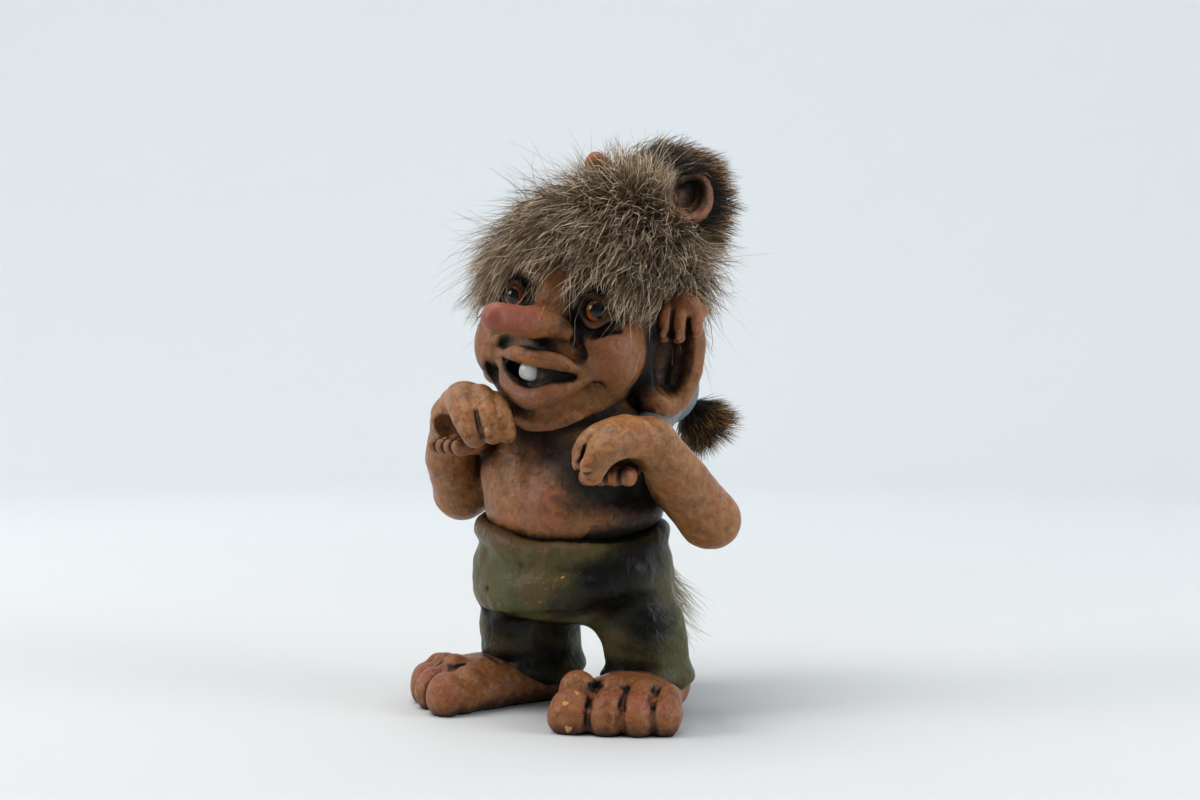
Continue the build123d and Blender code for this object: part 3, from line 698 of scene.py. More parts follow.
def make_light():
    world = bpy.data.worlds.new("sky")
    bpy.context.scene.world = world
    world.use_nodes = True
    world.node_tree.nodes["Background"].inputs["Color"].default_value = shade(236, 241, 246)
    world.node_tree.nodes["Background"].inputs["Strength"].default_value = 0.48
    middle = (0.0, 0.0, 0.09)
    behind = (-0.75, 1.15, 0.25)
    make_lamp("top_lamp", (-0.15, -0.15, 1.15), middle, (0.8, 0.8), 8.6, (1.0, 0.97, 0.93))
    make_lamp("front_lamp", (-0.80, -0.85, 0.60), middle, (0.5, 0.5), 7.3, (1.0, 0.95, 0.89))
    make_lamp("side_lamp", (0.95, 0.15, 0.45), middle, (0.4, 0.7), 5.4, (0.96, 0.98, 1.0))
    make_lamp("wall_lamp", (-0.30, 0.35, 1.25), behind, (0.9, 0.4), 2.3, (0.97, 0.99, 1.0))
    bpy.context.scene.view_settings.view_transform = "Standard"


make_camera()
make_studio()
make_light()


# Grown troll's head, in its own axes about its middle
head_place = (-1.5, 1.5, 127.5)
head_turn = turn_about("Z", 5) @ turn_about("Y", 10)
eye_radius = 4.6
face_out = 2.8
eye_spots = [np.array([face_out + 14.4, -23.2, 3.6]), np.array([face_out - 14.4, -23.2, 3.6])]
ear_middle = np.array([31.2, 4.9, -9.5])
ear_half_depth, ear_half_height = 10.5, 18.5


def both(points):
    """The points as they are, and mirrored to the other side."""
    points = np.array(points, float)
    return [points, points * np.array([-1, 1, 1])]


def ear_axes(side):
    """Columns: out of the ear's hollow, across it and up."""
    face = turn_about("Z", -35)
    return face if side > 0 else np.diag([-1, 1, 1]) @ face


def shape_ear(clay, middle, half_depth, half_height, side, thick):
    """A cupped ear with a thick rolled rim, a deep hollow and a lobe."""
    axes = ear_axes(side)
    centre = middle * np.array([side, 1, 1])

    def at(out, across, up):
        return centre + axes @ np.array([out * thick, across * half_depth, up * half_height])

    clay.add(egg(centre, (thick, half_depth, half_height), axes), thick * 0.6)
    clay.add(egg(at(-0.3, -0.45, -0.1), (thick, half_depth * 0.7, half_height * 0.85), axes), thick * 0.5)
    hollow = (thick * 1.7, half_depth * 0.66, half_height * 0.76)
    clay.cut(egg(at(1.15, -0.10, 0.02), hollow, axes), thick * 0.35)
    rim = [at(0.35, math.cos(a) * 0.80, math.sin(a) * 0.84) for a in np.radians(np.arange(-95, 150, 22))]
    clay.add(bone(rim, thick * 0.54), thick * 0.45)
    fold = arc([at(-0.2, 0.25, 0.50), at(-0.35, 0.36, 0.05), at(-0.2, 0.20, -0.40)])
    clay.add(bone(fold, thick * 0.20), thick * 0.4)
    clay.add(egg(at(0.1, -0.30, -0.78), thick * 0.85), thick * 0.6)


def shape_head():
    clay = Clay(head_place, head_turn)
    clay.add(egg((0.6, 2.6, 11.5), (28.4, 27.4, 25.8)), 0)
    clay.add(egg((0, -1.5, -6), (28.6, 27, 24.5)), 6)
    clay.add(egg((0.4, -10.5, -23), (20.8, 18, 15.5)), 8)
    clay.add(egg((18.0, -15.0, -10), (11.8, 12.4, 12.6)), 4)
    clay.add(egg((-16.6, -16.0, -12.5), (11.4, 12.0, 13.2)), 4)
    clay.add(egg((1.6, -17.8, -17), (15.4, 13.2, 13.4)), 5)
    clay.add(egg((2.2, -19.5, -32.4), (12.6, 8.6, 7.2)), 5)
    # Nose: a long bulb-ended limb with a bridge up to the brow and wings at its root
    nose = [(2.6, -19, 0.6), (2.8, -28, -2.4), (1.3, -40, -3.0), (0.3, -48, -2.5), (-0.3, -55.2, -2.3)]
    clay.add(limb(nose, (8.4, 6.2, 4.9, 4.5, 4.7)), 4)
    clay.add(bone([(2.6, -22, 0), (1.8, -26.0, 8), (0.6, -22.5, 18)], (6.0, 4.2, 5.5)), 5)
    for wing in ((9.2, -26.4, -4.4), (-3.6, -26.6, -4.4)):
        clay.add(egg(wing, (4.3, 4.6, 4.0)), 2.5)
        clay.press([(wing[0], wing[1] - 3.5, wing[2] - 3.6)], 1.1, 0.6)
    clay.press([(8.4, -29.5, 2.0), (13.0, -26.0, -2.4), (12.6, -27.0, -7.5)], 1.2, 0.7)
    clay.press([(-4.2, -48.5, 1.6), (-3.4, -53.0, 2.2)], 1.0, 0.3, smooth=False)
    # Brow, sockets and lids
    for side in (1, -1):
        brow = [(face_out + side * 4.0, -24.5, 12.4), (face_out + side * 12.5, -25.0, 13.4),
                (face_out + side * 20, -18.5, 9.8)]
        clay.add(bone(arc(brow), 3.6), 3.5)
    for eye in eye_spots:
        side = math.copysign(1, eye[0])
        clay.cut(egg(eye + (side * 0.5, -4.7, 0.2), (7.6, 6.2, 6.8)), 2.6)
        clay.cut(egg(eye, eye_radius + 0.1), 0.6)
        upper = [eye + (-side * 5.2, -1.8, 0.4), eye + (-side * 1.0, -3.9, 4.4),
                 eye + (side * 5.2, -0.6, 1.4)]
        lower = [eye + (-side * 5.4, -2.0, -0.8), eye + (side * 0.2, -3.6, -4.9),
                 eye + (side * 5.6, -0.4, -0.4)]
        clay.add(bone(arc(upper), 1.2), 0.8)
        clay.add(bone(arc(lower), 1.3), 1.0)
        bag = [eye + (-side * 6.4, -4.0, -6.6), eye + (0, -3.4, -8.0), eye + (side * 6.6, 2.4, -5.4)]
        clay.press(bag, 1.2, 0.9)
        clay.press([eye + (side * 6.2, 4.0, 0.6), eye + (side * 9.0, 7.5, 1.6)], 0.8, 0.5, smooth=False)
    # Lips and the open mouth
    upper_lip = [(-12.6, -26, -15.4), (-4, -32.4, -13.8), (5, -34, -13.6), (11.5, -30.6, -14.2),
                 (16.4, -24, -17.0)]
    clay.add(limb(upper_lip, (1.5, 2.9, 3.1, 2.7, 1.0)), 1.8)
    lower_lip = [(-12.6, -26, -17.8), (-6.4, -30.4, -24.2), (2.4, -32, -27.0), (10.4, -30.2, -23.4)]
    clay.add(limb(lower_lip + [(17.8, -23.6, -18.4)], (1.3, 2.7, 3.4, 3.3, 1.2)), 1.6)
    clay.cut(bone([(-7, -27, -18.6), (-1, -28.4, -20.0), (5, -27.6, -19.4), (10, -24, -18.2)],
                  (2.4, 2.9, 1.7, 0.7)), 0.8)
    opening = [(-10.4, -28.4, -16.8), (-4, -32.4, -19.0), (1.4, -34, -19.8), (7, -33.6, -18.6),
               (16.6, -24.6, -17.4)]
    clay.cut(limb(opening, (0.6, 2.9, 2.6, 1.0, 0.35)), 0.7)
    # Creases round the mouth, on the cheeks and chin
    above = [(-13.5, -25.4, -12.6), (-4.5, -31, -9.8), (5.8, -33, -9.6), (12.3, -29.6, -9.6),
             (17.0, -24.6, -11.6)]
    clay.press(above + [(18.8, -22.4, -15.5), (18.0, -22.2, -19.5)], 1.7, 1.3)
    below = [(-14.2, -24, -21.5), (-11.3, -25.4, -27.0), (-5.1, -27, -31.0), (3, -28, -32.2),
             (9.3, -27, -29.9)]
    clay.press(below + [(14.1, -24.4, -25.8), (17.6, -22.2, -20.9)], 1.9, 2.0)
    clay.press([(11.8, -27.2, -5.8), (15.4, -25.4, -9.2), (21.0, -22.2, -13.6), (21.6, -20.6, -18.6),
                (18, -20.2, -25.2)], 1.3, 1.1)
    clay.press([(-14.5, -26.0, -6.5), (-17.8, -25.0, -11), (-18.0, -24.4, -17), (-16.0, -23.5, -24.5)],
               1.4, 1.6)
    clay.press([(21.6, -22.2, -15.4), (20.9, -22.0, -17.4)], 1.2, 1.5, smooth=False)
    clay.press([(26.0, -15.5, -9), (27.4, -13.0, -16), (24.4, -12.6, -23)], 0.9, 0.45)
    clay.press([(23.4, -18.8, -4.5), (26.4, -14.0, -7.5), (28.0, -10.0, -14)], 0.8, 0.4)
    clay.press([(-2, -27.0, -35), (2, -27.8, -36.2), (6, -26.6, -35)], 1.0, 0.35)
    for side in (1, -1):
        shape_ear(clay, ear_middle, ear_half_depth, ear_half_height, side, 5.4)
    return clay


# Torso, shoulders and neck
waist_up = 59.0


def shape_torso():
    clay = Clay()
    clay.add(egg((-1.5, -4.4, 65.5), (30.0, 27.2, 18.0)), 0)
    clay.add(egg((-1.5, -2.4, 82.0), (28.4, 24.4, 19.0)), 9)
    for side in (1, -1):
        clay.add(egg((-1.5 + side * 17, 3.2, 81.5), (13.2, 12.2, 11.2)), 5)
    clay.add(bone([(-1.5, 1.0, 92), (-1.5, 1.5, 112)], (18.0, 14.5)), 7)
    for side in (1, -1):
        clay.add(egg((-1.5 + side * 12.5, -17.0, 76.5), (12.5, 10.5, 9.5)), 7)
    clay.press([(-4.7, -31.0, 57.4)], 1.5, 2.0, smooth=False)
    clay.press([(-27, -11, 71), (-16, -24.5, 66.5), (-2, -30.0, 65.2), (12, -26.5, 66.6), (25, -13, 72)],
               3.2, 0.9)
    clay.press([(-1.5, -28, 84), (-1.5, -29.5, 76), (-1.5, -30.5, 70)], 2.6, 0.7)
    clay.press([(-22, -12, 96), (-8, -19, 92.5), (6, -19, 92.5), (18, -12, 96)], 2.2, 0.8)
    return clay


# Trousers: hips, waistband and two legs, with the photograph's bulges and folds
left_leg_out, right_leg_out = 25.0, 21.0


def band_path():
    """The waistband's line: low in front, high at the hips, a little wavy."""
    made = []
    for angle in np.radians(np.arange(0, 360, 12)):
        across, ahead = math.cos(angle), math.sin(angle)
        wave = 0.9 * math.sin(3 * angle + 1.0) + 0.5 * math.sin(5 * angle)
        up = waist_up + 3.6 * ahead - 3.2 * across + wave
        if ahead < 0:
            up -= 1.2 * (-ahead) ** 2
        made.append((-3.0 + 30.0 * across, -3.4 + 27.0 * ahead, up))
    made.append(made[0])
    return np.array(made)


def shape_trousers():
    clay = Clay()
    clay.add(egg((-2.6, -3.0, 44.0), (34.2, 29.2, 17.4)), 0)
    band = band_path()
    low = band - (0, 0, 13)
    low[:, 2] = np.minimum(low[:, 2], 47)
    clay.add(egg((-2.6, -3.0, 51.0), (31.8, 28.2, 13.0)), 5)
    clay.cut(egg((-1.5, -3.2, 68.0), (30.2, 26.6, 12.0)), 1.5)
    clay.add(bone(band - (0, 0, 2.0), 2.9), 2.6)
    clay.add(bone(band, 2.5), 2.0)
    for out, side, wide in ((left_leg_out, 1, 0.2), (-right_leg_out + 1.2, -1, 3.4)):
        x = -1.5 + out
        inner = -1.5 + side * 16.5
        leg_radii = (15.0 + wide / 2, 13.6 + wide, 13.2 + wide)
        clay.add(bone([(inner, -1.5, 40), (x - side * 0.5, -1.5, 27), (x, 0.5, 15.5)], leg_radii), 3.5)
        clay.add(egg((x, 1.0, 11.5), (14.8 + wide, 16.6, 6.0)), 3)
        clay.press([(x - 14, -6, 15.5), (x - 5, -14, 13.6), (x + 6, -14.5, 14.6), (x + 15, -5, 16.5)],
                   1.8, 0.9)
        clay.press([(x + side * 14, 6, 30), (x + side * 12.5, -8, 27.5), (x + side * 3, -15.5, 30)],
                   2.2, 0.9)
        clay.press([(x + side * 15, 3, 21.5), (x + side * 10, -12, 19.5), (x - side * 3, -15.0, 22.5)],
                   1.8, 0.7)
        clay.cut(egg((x, 1.0, 4.6), (13.6, 14.6, 5.5)), 1.0)
    # The belly of the cloth hangs over the tops of the legs
    clay.add(bone(arc([(-26, -15, 37), (-14, -24, 36.5), (0, -26.5, 38), (14, -24, 41), (26, -14, 46)]),
                  5.6), 6)
    clay.press([(-31, -10, 33), (-22, -21, 31.2), (-10, -27, 31.4), (2, -28, 32.4), (14, -25, 35.2),
                (24, -18, 40)], 2.2, 1.6)
    clay.press([(-20, -27.5, 50), (-10, -32, 46.5), (2, -33, 47)], 2.6, 0.6)
    clay.press([(10, -30.5, 51), (19, -26, 46), (26, -19, 44)], 2.4, 0.8)
    clay.press([(-29.5, -17, 52), (-24, -22.5, 47), (-20, -26, 43)], 2.0, 0.6)
    for x, y, z in ((-3.3, -33.2, 48.4), (-17.7, -28.4, 39.7)):
        clay.press([(x, y, z)], 0.8, 1.6, smooth=False)
    return clay


# Arms: thick sausages with small hands that close over the child's feet
def nail(clay, tip, out, along, width):
    """A short nail set on the end of a finger or toe."""
    out = unit(np.array(out, float))
    along = np.array(along, float)
    along = unit(along - out * (along @ out))
    across = np.cross(out, along)
    turn = np.stack([across, along, out], 1)
    clay.add(egg(np.array(tip) + out * width * 0.18, (width, width * 1.15, width * 0.42), turn), 0.25)


def finger(clay, path, radii, soft=1.2):
    clay.add(limb(path, radii, 3), soft)


def shape_left_arm():
    clay = Clay()
    elbow, wrist = np.array([45.4, 0.6, 63.2]), np.array([39.6, -25.0, 87.6])
    middle = (elbow + wrist) / 2 + (1.5, -0.5, -0.5)
    clay.add(bone([(21.5, 3, 82), (34, 2.5, 73.5), elbow], (11.0, 9.8, 9.0)), 0)
    clay.add(bone([elbow, middle, wrist], (9.0, 8.6, 7.2)), 2.5)
    clay.add(egg(elbow + (2.4, 1.0, -1.4), (7.2, 7.2, 7.4)), 3)
    clay.add(bone([wrist, (36.5, -33.0, 89.2), (33.8, -39.5, 88.8)], (7.2, 6.9, 5.9)), 3)
    # The near finger curls down over the foot, the next one shows beyond it, and the palm arches
    finger(clay, [(38.4, -32.5, 88.8), (37.0, -40.6, 87.8), (34.6, -46.0, 84.4), (32.6, -47.0, 79.4)],
           (5.8, 5.2, 4.5, 3.8), 2.0)
    finger(clay, [(35.0, -31.5, 91.2), (32.4, -38.6, 90.8), (29.6, -44.2, 87.4), (28.6, -45.2, 82.6)],
           (4.7, 4.4, 3.9, 3.2), 0.8)
    finger(clay, [(31.5, -30.5, 89.4), (28.0, -35.8, 88.8), (25.4, -39.8, 85.4), (24.6, -40.6, 81.6)],
           (4.2, 3.9, 3.5, 3.0), 0.8)
    clay.cut(egg((33.5, -37.0, 78.6), (10.5, 9.0, 5.4), turn_about("Z", 30)), 1.6)
    groove = [(30.4, -48.8, 82.0), (30.8, -46.6, 88.4), (34.4, -41.6, 92.4), (36.8, -35.0, 94.6),
              (39.2, -29.4, 95.2)]
    clay.press(groove, 0.6, 0.8)
    nail(clay, (33.2, -50.8, 82.0), (0.3, -0.93, 0.25), (-0.2, 0.0, -1.0), 2.2)
    nail(clay, (28.4, -48.2, 84.0), (-0.2, -0.9, 0.3), (-0.2, 0.0, -1.0), 1.6)
    for place in ([(36.0, -46.0, 87.6), (33.6, -48.0, 90.0)], [(35.0, -48.6, 84.8), (32.2, -50.0, 87.4)]):
        clay.press(place, 0.7, 0.4, smooth=False)
    clay.press([(46, -27.5, 86), (42.5, -31.5, 91.5), (36.5, -31.5, 95)], 1.2, 0.5)
    clay.press([(48.5, 3.5, 55.5), (52.5, 0.5, 57.5)], 1.1, 0.6, smooth=False)
    return clay


def shape_right_arm():
    clay = Clay()
    elbow, wrist = np.array([-46.4, -4.6, 68.6]), np.array([-35.6, -24.0, 93.6])
    middle = (elbow + wrist) / 2 + (-2.0, -1.0, -1.0)
    clay.add(bone([(-24.5, 3, 82), (-37, 0, 74.5), elbow], (11.0, 10.0, 9.2)), 0)
    clay.add(bone([elbow, middle, wrist], (9.2, 8.6, 7.0)), 2.5)
    clay.add(egg(elbow + (-0.5, 0.5, -1.6), (8.0, 7.6, 7.6)), 3)
    clay.add(bone([wrist, (-30.5, -28.0, 97.6), (-24.5, -30.0, 99.4)], (7.0, 6.6, 6.0)), 3)
    finger(clay, [(-26.5, -31.5, 100.4), (-21.6, -37.4, 98.6), (-17.0, -41.2, 94.0), (-13.6, -42.0, 89.2)],
           (5.4, 5.0, 4.6, 4.0), 1.4)
    finger(clay, [(-19.5, -31.0, 100.6), (-14.4, -36.4, 98.4), (-10.4, -39.4, 94.0), (-8.0, -40.2, 89.4)],
           (4.4, 4.2, 3.8, 3.2), 1.1)
    finger(clay, [(-15.5, -29.5, 98.8), (-10.4, -34.0, 97.2), (-6.6, -36.8, 93.4), (-4.8, -37.4, 89.6)],
           (4.0, 3.8, 3.4, 2.9), 0.7)
    clay.cut(egg((-30.5, -31.5, 90.4), (7.5, 6.5, 4.6), turn_about("Y", 12)), 1.2)
    clay.press([(-10.8, -43.6, 90.4), (-12.8, -42.0, 96.0), (-17.8, -36.2, 101.6), (-22.8, -30.0, 104.6)],
               0.7, 0.5)
    clay.press([(-6.0, -41.0, 91.0), (-8.4, -38.4, 97.0), (-12.8, -33.0, 101.0)], 0.5, 0.6)
    clay.press([(-17.2, -45.6, 93.4), (-19.6, -42.4, 96.6)], 0.8, 0.5, smooth=False)
    nail(clay, (-14.4, -45.6, 90.4), (0.25, -0.93, 0.2), (0.25, 0.0, -1.0), 2.3)
    nail(clay, (-7.6, -43.2, 90.4), (0.15, -0.95, 0.2), (0.1, 0.0, -1.0), 1.7)
    clay.press([(-46, -22, 90), (-42, -29, 94), (-34, -32, 99)], 1.2, 0.5)
    clay.press([(-50, 0, 58.5), (-53, -5, 60.0)], 1.1, 0.6, smooth=False)
    return clay


# Feet: broad and bare, with four toes each
foot_half = (19.5, 29.0)
toe_places = (-0.66, -0.09, 0.39, 0.78)
toe_widths = (0.35, 0.28, 0.25, 0.21)
toe_reaches = (1.53, 1.52, 1.46, 1.36)
toe_heights = (1.08, 1.03, 0.98, 0.90)


def shape_foot(side, out, heading):
    clay = Clay((side * out, 3.0, 0.0), turn_about("Z", side * heading) @ np.diag([side, 1, 1]))
    w, d = foot_half
    clay.add(egg((0, 1.0, 8.0), (13.6, 12.8, 9.6)), 0)
    clay.add(egg((-0.5, -13.5, 6.8), (14.6, 18.0, 8.6)), 5)
    clay.add(egg((0.2, -27.5, 6.0), (17.6, 13.5, 9.2)), 6)
    clay.add(bone([(0, 0, 10), (0, 0, 24)], (9.2, 9.0)), 4)
    clay.add(bone([(-w * 0.72, -d * 1.18, 5.4), (w * 0.76, -d * 1.10, 5.0)], (5.6, 4.8)), 3)
    for place, width, reach, height in zip(toe_places, toe_widths, toe_reaches, toe_heights):
        x = w * place
        tip = -d * reach
        r = w * width
        knuckle = -d * 1.10 + 1.2 * place
        rise = 0.84 if side < 0 and place < -0.5 else 1.0
        clay.add(egg((x, knuckle, 10.2 * height * rise), (r * 0.92, 5.4, 6.2 * height * rise)), 1.0)
        clay.add(egg((x, tip + 5.0, 6.2), (r * 1.02, 6.2, 6.8 * height)), 0.9)
        clay.add(egg((x, tip + 3.6, 4.2), (r * 1.04, 4.0, 5.0)), 2.2)
        crease = tip + 9.6
        clay.press([(x - r * 0.9, crease, 11.8 * height), (x, crease - 0.6, 13.4 * height),
                    (x + r * 0.9, crease, 11.8 * height)], 0.9, 0.7)
        clay.press([(x - r * 0.7, tip + 1.0, 8.2), (x + r * 0.7, tip + 0.6, 8.0)], 0.7, 0.35, smooth=False)
    for left, right in zip(range(3), range(1, 4)):
        x = w * (toe_places[left] + toe_widths[left] + toe_places[right] - toe_widths[right]) / 2
        clay.press([(x * 0.96, -d * 1.0, 13.5), (x, -d * 1.16, 13.0), (x, -d * 1.28, 11.6)], 0.75, 1.0)
        clay.press([(x, -d * 1.28, 11.6), (x, -d * 1.50, 8.0), (x, -d * 1.50, 1.0)], 0.6, 0.9, smooth=False)
    clay.press([(-15, -20, 8), (-13.5, -10, 5), (-12, 0, 6)], 2.5, 0.4)
    for x, y in ((-6, -20), (4, -23), (0, -17)):
        clay.press([(x - 3, y, 14.6), (x + 3, y - 1.5, 14.6)], 1.0, 0.45, smooth=False)
    clay.cut(egg((0, -20, -40), (400, 400, 40)), 0.4)
    return clay


# The child: body and legs round the grown troll's neck
child_hips_at = np.array([1.5, 41.0, 103.0])
child_head_place = (1.5, 41.0, 165.0)
child_head_turn = turn_about("Z", -10) @ turn_about("X", -25)
child_eyes = [np.array([6.93, -14.6, 2.2]), np.array([-6.93, -14.6, 2.2])]
child_eye_radius = 2.6
child_foot_places = [((29.0, -28.0, 78.5), 14), ((-26.6, -27.0, 86.0), -18)]


def child_leg_path(side, foot_at):
    hip = child_hips_at + (side * 9.5, -5.8, 0)
    over = np.array([-1.5 + side * 24.0, 4.0, 91.0])
    ankle = np.array(foot_at) + (0, 8.0, 2.0)
    return np.array([hip, (hip + over) / 2 + (side * 2, 0, 1), over, (over + ankle) / 2 + (0, 0, 1), ankle])


def shape_child_trousers():
    clay = Clay()
    clay.add(egg(child_hips_at, (17, 14.5, 14)), 0)
    for side, (foot_at, heading) in zip((1, -1), child_foot_places):
        clay.add(limb(child_leg_path(side, foot_at), (7.2, 5.6, 4.4)), 4)
        knee = child_leg_path(side, foot_at)[2]
        for step in (-5, 0, 5):
            clay.press([knee + (-5, step, 4.2), knee + (0, step + 1.0, 6.2), knee + (5, step, 4.2)],
                       1.0, 0.5)
    turns = np.radians(np.arange(0, 361, 20))
    rim = [child_hips_at + (13.8 * math.cos(a), 11.6 * math.sin(a), 11.0) for a in turns]
    clay.add(bone(rim, 1.7), 1.5)
    clay.press([child_hips_at + (-12, 9, -6), child_hips_at + (0, 15, -9), child_hips_at + (12, 9, -6)],
               1.8, 0.8)
    return clay


def shape_child_foot(foot_at, heading):
    clay = Clay(foot_at, turn_about("Z", heading))
    clay.add(egg((0, 5.5, 0.8), (5.4, 5.2, 4.4)), 0)
    clay.add(egg((0, -1.0, 0), (7.4, 6.8, 4.0)), 3)
    for place in (-0.72, -0.24, 0.24, 0.70):
        clay.add(egg((9.0 * place, -7.6, -0.8), (2.6, 3.9, 3.0)), 0.6)
        clay.press([(8.5 * place - 1.6, -9.0, 1.4), (8.5 * place, -9.6, 1.8),
                    (8.5 * place + 1.6, -9.0, 1.4)], 0.5, 0.3)
    return clay


def shape_child_torso():
    clay = Clay()
    middle = child_hips_at + (0, 0, 33)
    clay.add(egg(middle + (0, 0, -4.6), (13.2, 12.0, 18.4)), 0)
    clay.add(egg(middle + (0, 0, 9), (12.6, 10.0, 12)), 6)
    clay.add(bone([middle + (0, 0, 10), middle + (0, 0, 22)], (8, 7)), 5)
    return clay


def shape_child_head():
    clay = Clay(child_head_place, child_head_turn)
    clay.add(egg((0, 0.8, 1.8), (16.4, 16.6, 16.4)), 0)
    clay.add(egg((0, -3.4, -7), (13.2, 13.6, 10.8)), 4)
    for cheek in both([(7.4, -9.4, -4)]):
        clay.add(egg(cheek[0], (6.6, 6.6, 5.8)), 2.5)
    clay.add(egg((0, -12.4, -8), (8, 5.8, 5.0)), 2.5)
    clay.add(limb([(0, -11, 0.5), (0, -20, 0), (0, -32.0, 0)], (5.2, 3.6, 3.7)), 2.5)
    for eye in child_eyes:
        clay.cut(egg(eye + (0, -1.6, 0), (3.6, 3.4, 3.4)), 1.2)
        clay.add(bone(arc([eye + (-3, -1, 1.2), eye + (0, -2.4, 2.8), eye + (3, -0.6, 1.2)]), 0.8), 0.6)
        clay.add(bone(arc([eye + (-3, -1, -1.2), eye + (0, -2.2, -2.8), eye + (3, -0.6, -1.2)]), 0.8), 0.6)
    clay.add(bone(arc([(-7, -14.6, -9), (0, -18.0, -8.2), (7, -14.6, -9)]), 1.4), 1.0)
    clay.add(bone(arc([(-7, -14.2, -10), (0, -17.4, -12.4), (7, -14.2, -10)]), 1.5), 1.0)
    clay.press([(-7.5, -15.5, -9.5), (0, -19.0, -10.2), (7.5, -15.5, -9.5)], 0.9, 1.4)
    for side in (1, -1):
        shape_ear(clay, np.array([15.6, -0.2, 3.0]), 8.0, 9.6, side, 3.3)
    return clay


def shape_child_arm(side):
    """From the child's shoulder to a hand that grips the top of the grown troll's ear."""
    clay = Clay()

    def on_head(point):
        return head_turn @ (np.array(point) * np.array([side, 1, 1])) + head_place

    grip = on_head((33.0, 4.0, 8.6))
    shoulder = child_hips_at + (side * 10, 0, 36)
    elbow = (shoulder + grip) / 2 + (side * 4.4, 0, -4.4)
    clay.add(limb([shoulder, elbow, grip], (5.2, 4.4, 4.2)), 0)
    clay.add(egg(on_head((34.0, 2.0, 8.2)), (6.4, 5.0, 4.6)), 2)
    roots = np.array([(30.4, -1.6, 7.0), (34.8, -0.4, 7.6), (38.8, 2.6, 6.8)])
    tips = np.array([(31.2, -3.0, -1.8), (35.8, -1.6, -1.4), (39.4, 2.2, 1.2)])
    for root, tip in zip(roots, tips):
        path = [on_head(root + (0, 2.4, 1.0)), on_head(root + (0, -0.6, -1.4)), on_head(tip)]
        finger(clay, path, (2.6, 2.5, 2.2), 0.5)
        nail(clay, on_head(tip + (0.6, -2.0, 0.6)), (0.4 * side, -1, 0.1), (0, 0, -1), 1.3)
    return clay


tail_root = np.array([3.0, 25.42, 54.0])
child_tail_root = np.array([1.5, 53.8, 98.0])


def pin_eye(root):
    """The thick end of a tail's stem, that its wire pin runs through."""
    return bone([root + (-2.4, 0, 0), root + (2.4, 0, 0)], 2.9)


def shape_tail():
    clay = Clay()
    bends = [tail_root, tail_root + (0, 8, -2.4), tail_root + (0, 14.4, -13), tail_root + (0, 16, -24)]
    clay.add(limb(bends, (2.4, 2.8, 2.4, 1.4)), 0)
    clay.add(pin_eye(tail_root), 1.0)
    return clay


def shape_child_tail():
    clay = Clay()
    bends = [child_tail_root, child_tail_root + (1, 5.4, 0), child_tail_root + (4, 9, -3)]
    clay.add(limb(bends, (2.4, 2.8, 2.2)), 0)
    clay.add(pin_eye(child_tail_root), 1.0)
    return clay


clays = {
    "head": (shape_head(), face_cell),
    "torso": (shape_torso(), body_cell),
    "trousers": (shape_trousers(), body_cell),
    "left_arm": (shape_left_arm(), hand_cell),
    "right_arm": (shape_right_arm(), hand_cell),
    "left_foot": (shape_foot(1, 22.0, 15.0), hand_cell),
    "right_foot": (shape_foot(-1, 19.0, 31.0), hand_cell),
    "child_trousers": (shape_child_trousers(), body_cell),
    "child_left_foot": (shape_child_foot(*child_foot_places[0]), small_foot_cell),
    "child_right_foot": (shape_child_foot(*child_foot_places[1]), small_foot_cell),
    "child_torso": (shape_child_torso(), body_cell),
    "child_head": (shape_child_head(), fine_cell),
    "child_left_arm": (shape_child_arm(1), fine_cell),
    "child_right_arm": (shape_child_arm(-1), fine_cell),
}


# How far every place is from the nearest casting, for painted shade and for laying the hair
def whole_grid():
    low = np.array([-75.0, -85.0, -6.0])
    high = np.array([75.0, 95.0, 205.0])
    axes = [np.arange(a, b, shade_cell, dtype=np.float32) for a, b in zip(low, high)]
    points = np.stack(np.meshgrid(*axes, indexing="ij"), -1).reshape(-1, 3)
    values = np.full(len(points), far_away, np.float32)
    for clay, cell in clays.values():
        values = np.minimum(values, clay.values_at(points, shade_margin))
    values = np.minimum(values, points[:, 2])
    return Grid(values.reshape([len(a) for a in axes]), low, shade_cell)


whole = whole_grid()


def model(name):
    """Points, faces, outward directions and hollows of one casting."""
    clay, cell = clays[name]
    grid = clay.grid(cell)
    points, faces = grid.skin()
    for _ in range(2):
        slope = grid.slope(points)
        size = np.maximum((slope * slope).sum(1), 0.2)
        step = np.clip(grid.read(points) / size, -cell, cell)
        points = points - slope * step[:, None]
    outward = unit(grid.slope(points))
    hollow = 1 - grid.read(points + outward * hollow_reach) / hollow_reach
    wide_hollow = 1 - grid.read(points + outward * wide_reach) / wide_reach
    ridge = 1 + grid.read(points - outward * ridge_reach) / ridge_reach
    if np.linalg.det(clay.turn) < 0:
        faces = faces[:, ::-1]
    local = points
    points, outward = clay.out(points), outward @ clay.turn.T
    # How much the other castings cover each point, which settle turns into painted shade
    covered = 0
    for reach in shadow_reaches:
        shadow = np.clip(1 - whole.read(points + outward * reach) / reach, 0, 1)
        covered = covered + shadow / len(shadow_reaches)
    return {
        "points": points, "local": local, "faces": faces, "outward": outward,
        "hollow": np.clip(hollow, 0, 1), "wide": np.clip(wide_hollow, 0, 1),
        "ridge": np.clip(ridge, 0, 1), "covered": covered,
    }


def settle(made, painted=0.0, strength=1.0):
    """How much dark paint and painted shade lie at each point: dark paint in hollows, painted shade in the
    shadow of other castings, and where it was painted on.
    """
    amount = 0.85 * made["hollow"] + 0.75 * made["wide"] + 0.95 * np.clip(made["covered"] - 0.22, 0, 1)
    return np.clip(amount * strength + painted - 0.12, 0, 1.2)


